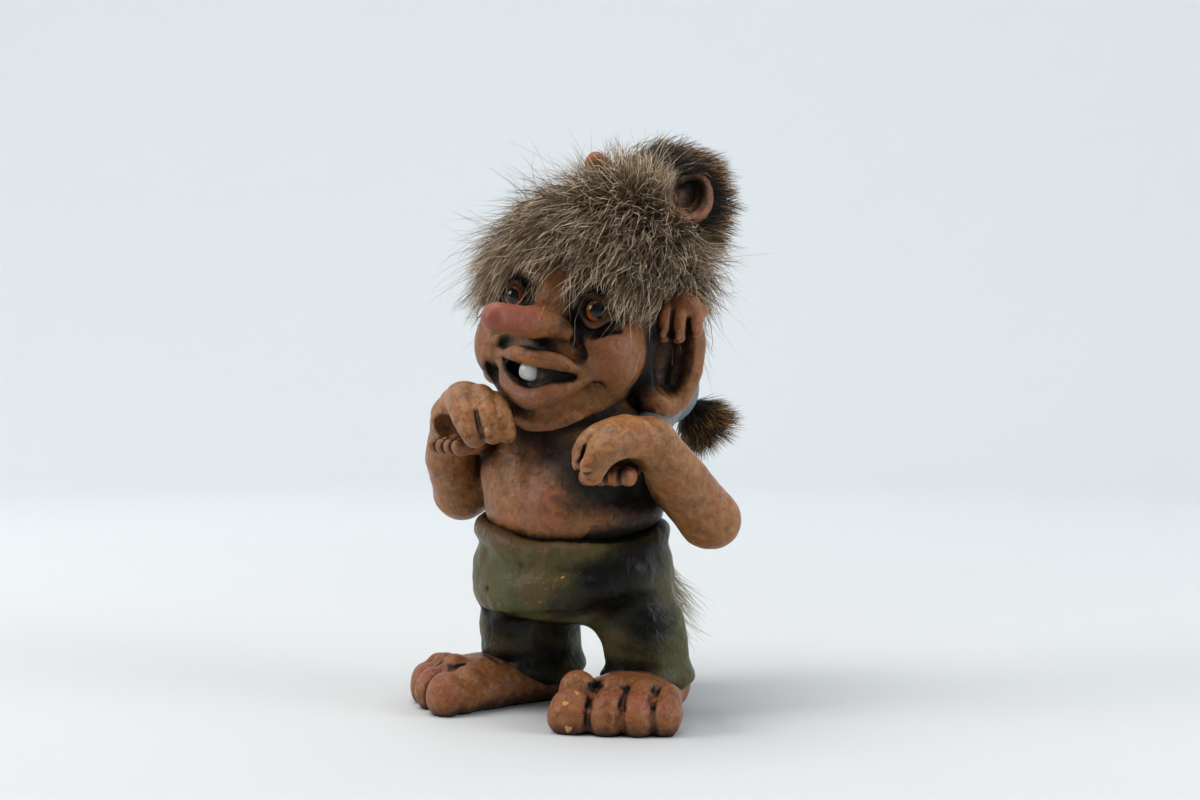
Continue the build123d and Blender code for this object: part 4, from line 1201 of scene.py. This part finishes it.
def roughen(made, sizes, heights, seed):
    """Uneven hand work on the surface, in a few sizes of bump."""
    for step, (size, height) in enumerate(zip(sizes, heights)):
        bumps = lumps(made["points"], size, seed + step)
        made["points"] = made["points"] + made["outward"] * (bumps * height)[:, None]


def marks_for(made, wash_and_shade_amount, **others):
    # The first mark holds dark paint in hollows together with painted shade
    marks = {"wash_and_shade": wash_and_shade_amount, "pale": 0.0, "blush": 0.0, "lip": 0.0, "chip": 0.0}
    marks.update(others)
    return {key: np.broadcast_to(value, len(made["points"])) for key, value in marks.items()}


# Dark paint and painted shade laid on over what settles by itself: how much, along which points, how wide;
# entries below zero take dark away as a painted highlight
# On the head: painted shade beside the nose, round and in the mouth, under the nose, on the far cheek and
# under the jaw; painted highlight on the near cheek, nose bridge and chin
head_wash_and_shade = (
    (0.6, [(11.5, -26, 8), (12.5, -27, -2)], 3.4),
    (0.6, [(-6.5, -26, 8), (-6, -28, 0)], 3.4),
    (0.30, [(-12, -27, -11), (-4, -31, -9.4), (6, -33, -9.4), (13, -28, -9.5), (18.6, -22, -15.5)], 2.4),
    (0.55, [(-20, -20, -6), (-23, -16, -16)], 8.0),
    (-0.6, [(18, -20, -21), (10, -25, -31)], 6.5),
    (0.2, [(18.6, -22, -15.5), (17.8, -22, -20.5)], 2.4),
    (0.4, [(-12, -25, -25), (-4, -27, -31), (4, -28, -32), (10, -26, -29.4), (17.4, -22, -21)], 2.2),
    (1.3, [(-8, -27, -18), (-1, -28.5, -19.5), (6, -28.5, -19), (13, -25.5, -18)], 2.4),
    (0.35, [(2, -38, -9), (3, -30, -9)], 3.6),
    (0.4, [(-14.5, -26.0, -6.5), (-17.8, -25.0, -11), (-18.0, -24.4, -17), (-16.0, -23.5, -24.5)], 2.0),
    (0.45, [(12, -13, -33), (20, -9, -27)], 3.6),
    (-0.6, [(2, -27, 4), (1, -26, 14)], 4.2),
    (-0.5, [(-2, -26, -36), (6, -26, -35)], 4.0),
)
# On the torso: painted shade under the arms, under the head and at the sides, and a painted highlight on the
# belly
torso_wash_and_shade = (
    (0.95, [(30, 0, 88), (19, -21, 77), (27, -12, 69)], 10.0),
    (0.75, [(3, -25, 86), (14, -24, 78)], 6.5),
    (0.95, [(-24, -8, 92), (-6, -20, 94), (16, -14, 94)], 7.5),
    (0.65, [(-28, -4, 80), (-27, -8, 66)], 6.0),
    (-0.22, [(-14, -26, 72), (-2, -30, 66)], 8.0),
)
# On the trousers: painted shade under the belly, on and between the legs and at the back
trouser_wash_and_shade = (
    (1.15, [(30, -13, 50), (22, -22, 43), (31, -11, 31)], 8.5),
    (0.8, [(8, -28, 37), (22, -22, 44)], 6.0),
    (0.85, [(-24, -16, 28), (-10, -22, 25), (-4, -16, 18)], 7.0),
    (0.7, [(-14, -16, 12), (-8, -10, 14)], 7.0),
    (0.9, [(16, -12, 12), (26, -15, 11)], 6.0),
    (0.8, [(2, -12, 28), (2, 4, 28)], 7.0),
    (0.5, [(0, 28, 40), (0, 24, 30)], 9.0),
)


def finish_head():
    made = model("head")
    p = made["local"]
    x, y, z = p.T
    roughen(made, (7.0, 2.4), (0.22, 0.08), 3)
    # Painted shade round the eyes, beside the ears, in the ear bowls, at the mouth corner, under the fringe,
    # under the hair and under the chin
    dark = brushed(p, head_wash_and_shade) + 1.05 * spots(p, np.array(eye_spots) + (0, -2, 1.5), 8.6)
    for side in both([(29, -8, 6), (28, -5, -6), (27, -4, -16)]):
        dark += 0.85 * near(p, side, 4.6)
    for side in both([(32, 2.5, 0), (32, 2.5, -13)]):
        dark += 1.2 * near(p, side, 6.2)
    dark += 0.7 * spots(p, [(21.4, -22.2, -16)], 1.6)
    under_fringe = np.clip((z - 9) / 6, 0, 1)
    under_hair = np.clip((y - 2) / 10, 0, 1) * (np.abs(x) < 27)
    under_chin = np.clip((-37 - z) / 4, 0, 1)
    dark += 0.55 * under_fringe + 0.8 * under_hair + 0.5 * under_chin
    lit_nose = np.clip((-30 - y) / 8, 0, 1)
    blush = near(p, [(0, -60, -2), (1, -42, 2)], 9.0) * lit_nose
    blush += brushed(p, ((0.85, [(22, -21, -8)], 7.0), (0.55, [(-21, -20, -8)], 7.0),
                         (0.35, [(2, -22, -34)], 6)))
    upper_lip, lower_lip = [(-8, -32, -14), (10, -32, -14)], [(-9, -30, -22), (2, -33, -26), (11, -30, -23)]
    lips = near(p, lower_lip, 3.2) + 0.8 * near(p, upper_lip, 3.0)
    # Pale streaks all over, and painted highlight on ridges and low on the near cheek
    pale = 0.8 * made["ridge"] + 0.5 * near(p, [(25, -16, -20), (15, -21, -30)], 5.0) + 0.3
    off_rim = np.abs(np.hypot(np.abs(x) - 31, z * 0.55 + 5.2) - 10.5)
    rims = np.clip(1.2 - off_rim / 3.4, 0, 1) * (np.abs(x) > 32) * (made["hollow"] < 0.35)
    chip = 0.55 * near(p, [(1.2, -51.0, -1.5), (2.2, -52.5, -6.5)], 1.3)
    chip += 0.6 * spots(p, [(-2, -55.0, 2.6)], 1.0)
    # Less dark on the front of the nose and on the ear rims: painted highlight
    washed_and_shaded = settle(made, dark, 1.0) - 0.35 * lit_nose * (made["hollow"] < 0.3) - 0.9 * rims
    marks = marks_for(made, washed_and_shaded, pale=pale, blush=np.clip(blush, 0, 1), lip=np.clip(lips, 0, 1),
                      chip=chip)
    mesh_piece("head_casting", made["points"], made["faces"], "figure", skin_paint, ["head"], marks)
    return made


def finish_torso():
    made = model("torso")
    p = made["points"].copy()
    x, y, z = p.T
    roughen(made, (9.0, 2.6), (0.3, 0.08), 11)
    # Painted shade above and inside the waistband, in the navel and over the back
    above_band = np.clip((62.0 + 0.05 * x - z) / 5, 0, 1) * (y > -24)
    inside_band = np.clip((56.8 - z) / 3, 0, 1)
    dark = brushed(p, torso_wash_and_shade) + 0.10 + 0.75 * above_band + 0.8 * inside_band
    dark += 0.7 * spots(p, [(-4.7, -30, 57)], 1.8) + 0.5 * np.clip((y - 8) / 10, 0, 1)
    # Painted highlight on the belly, over pale streaks all over
    pale = 0.45 * near(p, [(-15, -26, 74), (-8, -29, 68)], 8.0) + 0.2
    blush = 0.45 * near(p, [(2, -31, 68)], 9.0)
    marks = marks_for(made, settle(made, dark, 0.9), pale=pale, blush=blush)
    mesh_piece("torso_casting", made["points"], made["faces"], "figure", skin_paint, ["torso"],
               marks)


def finish_trousers():
    made = model("trousers")
    p = made["points"].copy()
    x, y, z = p.T
    roughen(made, (11.0, 4.0, 1.8), (0.55, 0.22, 0.06), 21)
    # Painted shade at the foot of the trousers and inside the waistband, and the legs darker towards the
    # bottom
    dark = brushed(p, trouser_wash_and_shade) + 0.9 * np.clip((8.6 - z) / 3, 0, 1)
    dark += 0.18 * np.clip((36 - z) / 8, 0, 1) * (0.6 + 0.4 * (x < 5))
    inside = ((x + 1.5) / 30.4) ** 2 + ((y + 3) / 26.6) ** 2 < 1.0
    dark += 1.1 * (inside & (z > 48))
    band_height = np.interp(x, [-32, -5, 30], [61, 54.5, 60])
    band = np.exp(-((z - band_height) / 3.0) ** 2) * (y < 22)
    # Painted highlight down the outer side of the left leg, on the right hip and on ridges
    pale = 0.9 * np.clip((x - 27) / 7, 0, 1) + 0.7 * near(p, [(-30, -12, 47), (-24, -22, 52)], 7.0)
    pale += 0.3 * made["ridge"]
    chip = 0.5 * near(p, [(-3, -32.5, 36.8), (5, -32.5, 37.6)], 1.9)
    chip += 0.6 * spots(p, [(11.5, -31, 45.5)], 1.2)
    pit = spots(p, [(-3.3, -32.5, 48.4), (-17.7, -28.0, 39.7)], 1.1)
    marks = marks_for(made, settle(made, dark, 0.8), pale=pale, chip=chip, band=0.9 * band, pit=pit)
    mesh_piece("trousers_casting", made["points"], made["faces"], "figure", trouser_paint,
               ["trousers"], marks)


def finish_arm(name, hand, seed, nails):
    made = model(name)
    p = made["points"].copy()
    roughen(made, (8.0, 2.2), (0.28, 0.07), seed)
    # Painted shade on the hand where the child's foot covers it
    dark = 0.5 * near(p, hand, 5.0) * (made["covered"] > 0.3) - 0.08
    # Painted highlight on ridges and on faces that turn up, over pale streaks all over
    pale = 0.65 + 0.6 * made["ridge"] + 0.2 * np.clip(made["outward"][:, 2], 0, 1)
    marks = marks_for(made, settle(made, dark, 0.8), pale=pale, blush=0.6 * spots(p, nails, 3.0))
    mesh_piece(name + "_casting", made["points"], made["faces"], "figure", skin_paint, [name], marks)


def finish_foot(name, seed, chips):
    made = model(name)
    p = made["points"].copy()
    q = made["local"]
    roughen(made, (6.0, 2.0), (0.25, 0.09), seed)
    made["points"][:, 2] = np.where(p[:, 2] < 0.3, 0.0, made["points"][:, 2])
    # Painted shade under the trouser hem, along the floor and in the creases on top of the toes
    under_hem = np.clip((q[:, 1] + 16) / 10, 0, 1) * np.clip((q[:, 2] - 7) / 4, 0, 1)
    toe_tops = np.exp(-((q[:, 1] + 35.5) / 3.2) ** 2) * np.clip((q[:, 2] - 10.0) / 2.5, 0, 1)
    dark = 0.75 * under_hem + 0.6 * np.clip((1.2 - p[:, 2]) / 1.2, 0, 1) + 0.12 * toe_tops
    # Painted highlight on ridges, over pale streaks all over
    pale = 0.45 + 0.7 * made["ridge"]
    blush = 0.5 * np.exp(-((q[:, 1] + 41) / 3.0) ** 2) * np.clip((q[:, 2] - 6) / 4, 0, 1)
    marks = marks_for(made, settle(made, dark, 0.78), pale=pale, blush=blush,
                      chip=0.9 * spots(q, chips, 1.8))
    mesh_piece(name + "_casting", made["points"], made["faces"], "figure", foot_paint, [name], marks)


def finish_child_part(name, seed, material, dark=0.0, strength=0.9):
    made = model(name)
    roughen(made, (5.0, 1.8), (0.15, 0.06), seed)
    # Painted shade in the child's ear bowls, and painted highlight on ridges in the pale mark
    if name == "child_head":
        for bowl in both([(17.5, -2.5, 5.5)]):
            dark = dark + 0.9 * spots(made["local"], bowl, 5.5)
    marks = marks_for(made, settle(made, dark, strength), pale=0.4 + 0.5 * made["ridge"], blush=0.25,
                      band=0.0, pit=0.0)
    mesh_piece(name + "_casting", made["points"], made["faces"], "figure", material, [name], marks)
    return made


head_made = finish_head()
finish_torso()
finish_trousers()
finish_arm("left_arm", [(34, -40, 84), (30, -44, 82)], 31, [(29.6, -51.6, 81.8)])
finish_arm("right_arm", [(-30, -34, 90), (-20, -38, 92)], 37, [(-22.4, -44.0, 90.4), (-16.4, -43.0, 90.6)])
finish_foot("left_foot", 41, [(-13.2, -44.0, 9.5), (-11.0, -41.0, 12.0), (7.0, -42.0, 12.6),
                              (-12.0, -45.5, 2.0), (14.6, -38.0, 8.0)])
finish_foot("right_foot", 47, [(-12.5, -43.0, 8.5)])
finish_child_part("child_trousers", 51, child_trouser_paint)
for child_piece, child_seed in (("child_left_foot", 55), ("child_right_foot", 57), ("child_torso", 59),
                                ("child_left_arm", 61), ("child_right_arm", 63)):
    finish_child_part(child_piece, child_seed, skin_paint)
child_made = finish_child_part("child_head", 65, skin_paint, 0.22)


def finish_tail(name, clay):
    clays[name] = (clay, fine_cell)
    made = model(name)
    roughen(made, (3.0,), (0.12,), 71)
    marks = marks_for(made, settle(made), pale=0.4)
    mesh_piece(name + "_casting", made["points"], made["faces"], name, skin_paint, [name], marks)


finish_tail("tail", shape_tail())
finish_tail("child_tail", shape_child_tail())


# Glass eyes: a clear dome over an amber ring and a black pupil, with a painted glow low on the amber
def eye_finish():
    paint = Finish("eye_glass")
    radius = paint.mark("radius")
    around = paint.mark("around")
    streak = paint.noise(paint.place(), 3.0, 3.0)
    amber = paint.mix(paint.span(streak, 0.35, 0.65), shade(74, 36, 8), shade(136, 80, 22))
    # A brighter orange low on the amber: a painted glow of light gathered by the glass
    amber = paint.mix(paint.span(around, 0.2, 0.9), amber, shade(160, 64, 22))
    rim = paint.mix(paint.span(radius, 0.80, 0.90), amber, shade(16, 10, 7))
    colour = paint.mix(paint.span(radius, 0.50, 0.56, 1.0, 0.0), rim, shade(7, 6, 6))
    paint.feed(paint.surface, "Base Color", colour)
    paint.surface.inputs["Roughness"].default_value = 0.06
    paint.surface.inputs["IOR"].default_value = 1.5
    paint.surface.inputs["Coat Weight"].default_value = 0.12
    paint.surface.inputs["Specular IOR Level"].default_value = 0.3
    paint.surface.inputs["Coat Roughness"].default_value = 0.02
    return paint.material


def ball_mesh(rings, sides):
    points, faces = [(0, 0, 1.0)], []
    for ring in range(1, rings):
        angle = math.pi * ring / rings
        for side in range(sides):
            turn = 2 * math.pi * side / sides
            wide, high = math.sin(angle), math.cos(angle)
            points.append((wide * math.cos(turn), wide * math.sin(turn), high))
    points.append((0, 0, -1.0))
    last = len(points) - 1
    for side in range(sides):
        after = (side + 1) % sides
        faces.append((0, 1 + side, 1 + after))
        faces.append((last, last - sides + after, last - sides + side))
        for ring in range(rings - 2):
            a, b = 1 + ring * sides, 1 + (ring + 1) * sides
            faces.append((a + side, b + side, b + after, a + after))
    return np.array(points), faces


eye_glass = eye_finish()
eye_fit_share = 0.985
iris_bulge = 0.07
iris_edge_angle = math.radians(62)


def make_eye(name, clay, centre, radius, gaze):
    """A glass ball that looks along its gaze, with a slight bulge over the iris."""
    points, faces = ball_mesh(40, 48)
    gaze = unit(np.array(gaze, float))
    side = unit(np.cross((0, 0, 1.0), gaze))
    turn = np.stack([side, np.cross(gaze, side), gaze], 1)
    tilt = np.arccos(np.clip(points[:, 2], -1, 1)) / iris_edge_angle
    bulge = 1 + iris_bulge * np.exp(-(tilt / 0.75) ** 2)
    placed = clay.out(centre + (points * bulge[:, None] * radius * eye_fit_share) @ turn.T)
    flat = np.concatenate(faces)
    corners = np.array([len(f) for f in faces])
    # How low on the ball each point lies, for the painted glow in the amber
    painted_glow = np.clip(-(points @ turn.T)[:, 2] * 1.6, 0, 1)
    marks = {"radius": tilt, "around": painted_glow}
    mesh_piece(name + "_ball", placed, flat, "figure", eye_glass, [name], marks, corners)


head_clay, child_head_clay = clays["head"][0], clays["child_head"][0]
for eye_name, eye_centre in zip(("left_eye", "right_eye"), eye_spots):
    gaze = (0.28 * math.copysign(1, eye_centre[0]) + 0.22, -1.0, -0.02)
    make_eye(eye_name, head_clay, eye_centre + (0, -0.4, 0), eye_radius, gaze)
for eye_name, eye_centre in zip(("child_left_eye", "child_right_eye"), child_eyes):
    gaze = (0.2 * math.copysign(1, eye_centre[0]), -1.0, 0.0)
    make_eye(eye_name, child_head_clay, eye_centre, child_eye_radius, gaze)


tooth_half = (3.4, 2.2, 2.8)
tooth_place = (0.2, -30.6, -18.8)


def make_tooth():
    """One broad tooth that hangs from the upper jaw."""
    paint = Finish("tooth_enamel")
    cloud = paint.noise(paint.place(), 0.3, 2.0)
    colour = paint.mix(paint.span(cloud, 0.4, 0.7), tooth_white, tooth_grey)
    # The tooth's sides go as dark as the mouth: painted shade
    colour = paint.mix(paint.span(paint.mark("shaded_sides"), 0.6, 1.1), colour, mouth_dark)
    paint.feed(paint.surface, "Base Color", colour)
    paint.surface.inputs["Roughness"].default_value = 0.22
    points, faces = ball_mesh(20, 24)
    form = np.sign(points) * np.abs(points) ** 0.8
    # How far to each side a point lies, for the painted shade
    shaded_sides = np.clip(np.abs(points[:, 0]) * 1.1 - 0.1, 0, 1) ** 2
    placed = head_clay.out(form * tooth_half + tooth_place)
    corners = np.array([len(f) for f in faces])
    mesh_piece("tooth_enamel_piece", placed, np.concatenate(faces), "figure", paint.material,
               ["tooth"], {"shaded_sides": shaded_sides}, corners)


make_tooth()


# Fur: closed three-sided strands that taper to a point
strands_a_piece = 6500
strands_a_batch = 2000
strand_joints = 5
strand_sides = 3
strand_clearance = 0.4
curl_spread, shiver_spread = 0.16, 0.05
root_jitter, root_depth = 0.35, 0.3
clear_depth = 45
hair_strands = int(12500 * strand_share)
crest_strands = int(1700 * strand_share)
stray_strands = int(700 * strand_share)
child_hair_strands = int(8000 * strand_share)


def grow(roots, outward, flow, lengths, lift, bend, droop, wander, seed):
    """Paths of strands that leave the skin, turn into the flow and sag, and stay off the castings."""
    random = np.random.default_rng(seed)
    count = len(roots)
    lift = np.asarray(lift)[:, None]
    heading = unit(outward * lift + flow(roots) * (1 - lift) + random.normal(0, wander, (count, 3)))
    curl = random.normal(0, curl_spread, (count, 3))
    step = (lengths / strand_joints)[:, None]
    path = [roots]
    for joint in range(strand_joints):
        point = path[-1] + heading * step
        gap = whole.read(point)
        push = np.clip(strand_clearance * (joint + 1) - gap, 0, 3)
        point = point + unit(whole.slope(point)) * push[:, None]
        path.append(point)
        shiver = random.normal(0, shiver_spread, (count, 3))
        heading = unit(heading + flow(point) * bend + np.array([0, 0, -droop]) + curl + shiver)
    return np.stack(path, 1)


def part_round(paths, places, radius):
    """Leaves out the strands that would hide a place from the front left."""
    toward = unit(camera_place - np.array([0.0, 0.0, camera_place[2]])) * clear_depth
    hiding = np.zeros(len(paths), bool)
    for place in places:
        along = np.clip(((paths - place) @ toward) / (toward @ toward), 0, 1)[..., None]
        hiding |= (np.linalg.norm(paths - place - along * toward, axis=-1) < radius).any(1)
    return paths[~hiding]


def gather(paths, share, seed, low=0.15, high=0.85):
    """Draws the ends of strands towards a few leaders, so that the fur lies in locks."""
    random = np.random.default_rng(seed)
    leaders = random.choice(len(paths), max(int(len(paths) * share), 1), replace=False)
    nearest = np.empty(len(paths), int)
    for start in range(0, len(paths), strands_a_batch):
        batch = slice(start, start + strands_a_batch)
        gaps = ((paths[batch, 0][:, None] - paths[leaders, 0][None]) ** 2).sum(-1)
        nearest[batch] = leaders[gaps.argmin(1)]
    pull = random.uniform(low, high, len(paths))[:, None, None]
    along = np.linspace(0, 1, paths.shape[1])[None, :, None] ** 1.6
    return paths + (paths[nearest] - paths) * pull * along


def strand_pieces(name, paths, thick, body, material, replaced, seed):
    """Meshes of strands, in several pieces where there are many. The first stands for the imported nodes."""
    random = np.random.default_rng(seed)
    order = random.permutation(len(paths))
    for number, start in enumerate(range(0, len(paths), strands_a_piece)):
        part = paths[order[start:start + strands_a_piece]]
        count, joints = part.shape[0], part.shape[1] - 1
        ahead = unit(np.diff(part, axis=1))
        ahead = np.concatenate([ahead, ahead[:, -1:]], 1)
        side = unit(np.cross(ahead, random.normal(0, 1, (count, 1, 3))))
        over = np.cross(ahead, side)
        radius = thick * np.interp(np.arange(joints) / joints, [0, 0.5, 1], [1.0, 0.85, 0.35])
        radius = radius[None, :, None] * random.uniform(0.55, 1.45, (count, 1, 1))
        rings = []
        for corner in range(strand_sides):
            angle = 2 * math.pi * corner / strand_sides
            off_centre = side[:, :joints] * math.cos(angle) + over[:, :joints] * math.sin(angle)
            rings.append(part[:, :joints] + off_centre * radius)
        points = np.concatenate([np.stack(rings, 2).reshape(count, -1, 3), part[:, -1:]], 1)
        first = (np.arange(count) * points.shape[1])[:, None]
        quads = []
        for joint in range(joints - 1):
            ring = joint * strand_sides
            for corner in range(strand_sides):
                a, b = ring + corner, ring + (corner + 1) % strand_sides
                quads.append((a, b, b + strand_sides, a + strand_sides))
        last_ring, tip = (joints - 1) * strand_sides, joints * strand_sides
        ends = [(2, 1, 0)]
        for corner in range(strand_sides):
            ends.append((last_ring + corner, last_ring + (corner + 1) % strand_sides, tip))
        pattern = np.concatenate([np.array(quads).ravel(), np.array(ends).ravel()])
        loops = (first + pattern[None]).ravel()
        corners = np.tile(np.array([4] * len(quads) + [3] * len(ends)), count)
        ring_share = np.repeat(np.arange(joints) / joints, strand_sides)
        along = np.tile(np.append(ring_share, 1.0), count)
        tone = np.repeat(random.uniform(0, 1, count), points.shape[1])
        pick = np.repeat(random.uniform(0, 1, count), points.shape[1])
        piece_name = f"{name}_{number + 1}"
        marks = {"along": along, "tone": tone, "pick": pick}
        stood_for = replaced if number == 0 else ()
        mesh_piece(piece_name, points.reshape(-1, 3), loops, body, material, stood_for, marks, corners)


def scatter(made, keep, count, seed):
    """Root places spread over the part of a casting that a mask keeps."""
    random = np.random.default_rng(seed)
    chosen = np.flatnonzero(keep)
    picks = chosen[random.integers(0, len(chosen), count)]
    jitter = random.normal(0, root_jitter, (count, 3))
    outward = made["outward"][picks]
    jitter -= outward * (jitter * outward).sum(1, keepdims=True)
    return made["points"][picks] + jitter - outward * root_depth, outward


def flow_from(clay, crown, down):
    """Hair lies away from a crown over the skull, and more and more downward."""
    def flow(points):
        local = clay.inward(points)
        away = unit(local - np.array(crown))
        radial = unit(local * (1, 1, 0.9))
        away = away - radial * (away * radial).sum(1, keepdims=True)
        return unit(unit(away) @ clay.turn.T + np.array([0, 0, -down]))
    return flow


# Places that the fur leaves clear: the child's ear, the grown troll's ear and the hand on it
child_ear_at = child_head_clay.out(np.array([[17.5, -1.0, 3.0]]))[0]
ear_bowl = head_clay.out(np.array([(33.0, 0.0, -6.0), (33.0, 0.0, -15.0)]))
hand_on_ear = head_clay.out(np.array([(33.0, 0.0, 3.5), (36.5, 0.0, 2.0)]))


def finish_hair():
    p = head_made["local"]
    random = np.random.default_rng(101)
    line = 5.0 - 0.40 * p[:, 1] + lumps(head_made["points"], 4.0, 5) * 2.0
    keep = (p[:, 2] > line) & (np.abs(p[:, 0]) < 29)
    crown = np.array([5.0, 22.0, 28.0])
    roots, outward = scatter(head_made, keep, hair_strands, 103)
    places = head_clay.inward(roots)
    top = np.exp(-(np.linalg.norm(places - crown - (2, -2, 2), axis=1) / 14) ** 2)
    over_ear = spots(places, [(29, 0, 12), (26, -10, 8)], 12.0)
    front = np.clip((-12 - places[:, 1]) / 10, 0, 1)
    lengths = (random.uniform(15, 29, hair_strands) + 7 * top) * (1 - 0.42 * over_ear) * (1 - 0.22 * front)
    lift = np.clip(random.beta(1.6, 3.0, hair_strands) * 0.66 + 0.04 + 0.8 * top, 0, 1)
    flat = spots(places, [(-13, -8, 32), (-6, -14, 34)], 17.0)
    lengths, lift = lengths * (1 - 0.12 * flat), lift * (1 - 0.55 * flat)
    bend = 0.34 - 0.28 * top[:, None]
    paths = grow(roots, outward, flow_from(head_clay, crown, 0.04), lengths, lift, bend, 0.08, 0.32, 105)
    paths = gather(paths, 0.07, 107, 0.1, 0.9)
    # A crest that stands up in front of the child's face
    crest = keep & (np.linalg.norm((p - (4, 17, 33)) / (17, 11, 9), axis=1) < 1)
    roots, outward = scatter(head_made, crest, crest_strands, 117)
    standing = grow(roots, outward, flow_from(head_clay, crown, -0.5), random.uniform(17, 27, crest_strands),
                    random.uniform(0.7, 1.0, crest_strands), 0.05, 0.02, 0.20, 119)
    paths = np.concatenate([paths, gather(standing, 0.05, 120)])
    right, up = np.array([0.848, 0.53, 0.0]), np.array([0.0, 0.0, 1.0])
    round_it = ((5.6, -11.5), (9.6, -6.6), (8.5, 1.6), (6.5, 10.0), (0.0, 12.0))
    clear_places = (
        (head_clay.out(np.array(eye_spots) + (0, -5, -0.5)), 5.0),
        ([child_ear_at], 7.4),
        (ear_bowl, 7.0),
        (head_clay.out(np.array([(2.5, -27.0, 10.0)])), 3.2),
        (child_head_clay.out(np.array([(0, -33.0, 0.5)])), 2.6),
        ([child_ear_at + right * across + up * rise for across, rise in round_it], 5.0),
        (hand_on_ear, 6.0),
    )
    for places, radius in clear_places:
        paths = part_round(paths, places, radius)
    strand_pieces("hair_strands", paths, 0.105, "figure", hair_fur, ["hair"], 109)
    roots, outward = scatter(head_made, keep, stray_strands, 111)
    paths = grow(roots, outward, flow_from(head_clay, crown, 0.0), random.uniform(22, 36, stray_strands),
                 random.uniform(0.2, 0.6, stray_strands), 0.2, 0.05, 0.35, 113)
    for places, radius in ((ear_bowl, 7.0), (hand_on_ear[:1], 7.0), ([child_ear_at], 7.4)):
        paths = part_round(paths, places, radius)
    strand_pieces("hair_strays", paths, 0.065, "figure", hair_fur, [], 115)


def finish_child_hair():
    p = child_made["local"]
    random = np.random.default_rng(121)
    keep = (p[:, 1] > -8.5 - 0.35 * p[:, 2]) & (p[:, 2] > -12) | (p[:, 2] > 7.5) & (p[:, 1] > -14.5)
    keep &= np.abs(p[:, 0]) < 16.0
    count = child_hair_strands
    roots, outward = scatter(child_made, keep, count, 123)
    top = spots(roots, [(15, 20, 183), (24, 24, 182)], 12.0)
    lengths = random.uniform(10, 20, count) * (1 - 0.3 * top)
    backward = np.array([0.50, 1.0, 0.05])

    def flow(points):
        away = unit(points - np.array(child_head_place))
        return unit(np.broadcast_to(backward, points.shape) + 0.15 * away)

    lift = random.uniform(0.05, 0.5, count)
    paths = grow(roots, outward, flow, lengths, lift, 0.30, 0.05, 0.14, 125)
    paths = part_round(gather(paths, 0.05, 127, 0.3, 0.9), [child_ear_at], 7.6)
    strand_pieces("child_hair_strands", paths, 0.12, "figure", black_fur, ["child_hair"], 129)


def brush_tuft(name, body, material, start, end, count, spread, lengths, droop, seed, thick=0.09):
    """Strands that spring from a stem and spread into a brush."""
    random = np.random.default_rng(seed)
    count = int(count * strand_share)
    start, end = np.array(start, float), np.array(end, float)
    share = random.uniform(0, 1, count)[:, None]
    ahead = unit(end - start)
    around = random.normal(0, 1, (count, 3))
    around = unit(around - ahead * (around @ ahead)[:, None])
    roots = start + (end - start) * share + around * 1.2
    fan = around * spread * random.uniform(0.5, 1.3, (count, 1))
    heading = unit(ahead * (1.1 - 0.2 * share) + fan)
    step = (random.uniform(*lengths, count) / strand_joints)[:, None]
    curl = random.normal(0, 0.09, (count, 3))
    path = [roots]
    for _ in range(strand_joints):
        point = path[-1] + heading * step
        gap = whole.read(point)
        point = point + unit(whole.slope(point)) * np.clip(0.5 - gap, 0, 2)[:, None]
        path.append(point)
        heading = unit(heading + np.array([0, 0, -droop]) + curl)
    paths = gather(np.stack(path, 1), 0.06, seed + 1, 0.1, 0.7)
    strand_pieces(name, paths, thick, body, material, [body + "_tuft"], seed + 2)


finish_hair()
finish_child_hair()
brush_tuft("child_tail_brush", "child_tail", black_fur, child_tail_root + (2, 7, -1),
           child_tail_root + (6.5, 13, -8), 3800, 1.25, (9, 17), 0.03, 141)
brush_tuft("tail_brush", "tail", tail_fur, tail_root + (0, 11.0, -6),
           tail_root + (0.5, 17, -24), 800, 0.8, (12, 30), 0.07, 151, 0.08)

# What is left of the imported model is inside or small: cores, dowels, wires and pins
for node_name, node_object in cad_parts.items():
    if node_object.hide_render:
        continue
    fill = foam if node_name.endswith("core") else wood if node_name.endswith("dowel") else steel
    node_object.data.materials.clear()
    node_object.data.materials.append(fill)
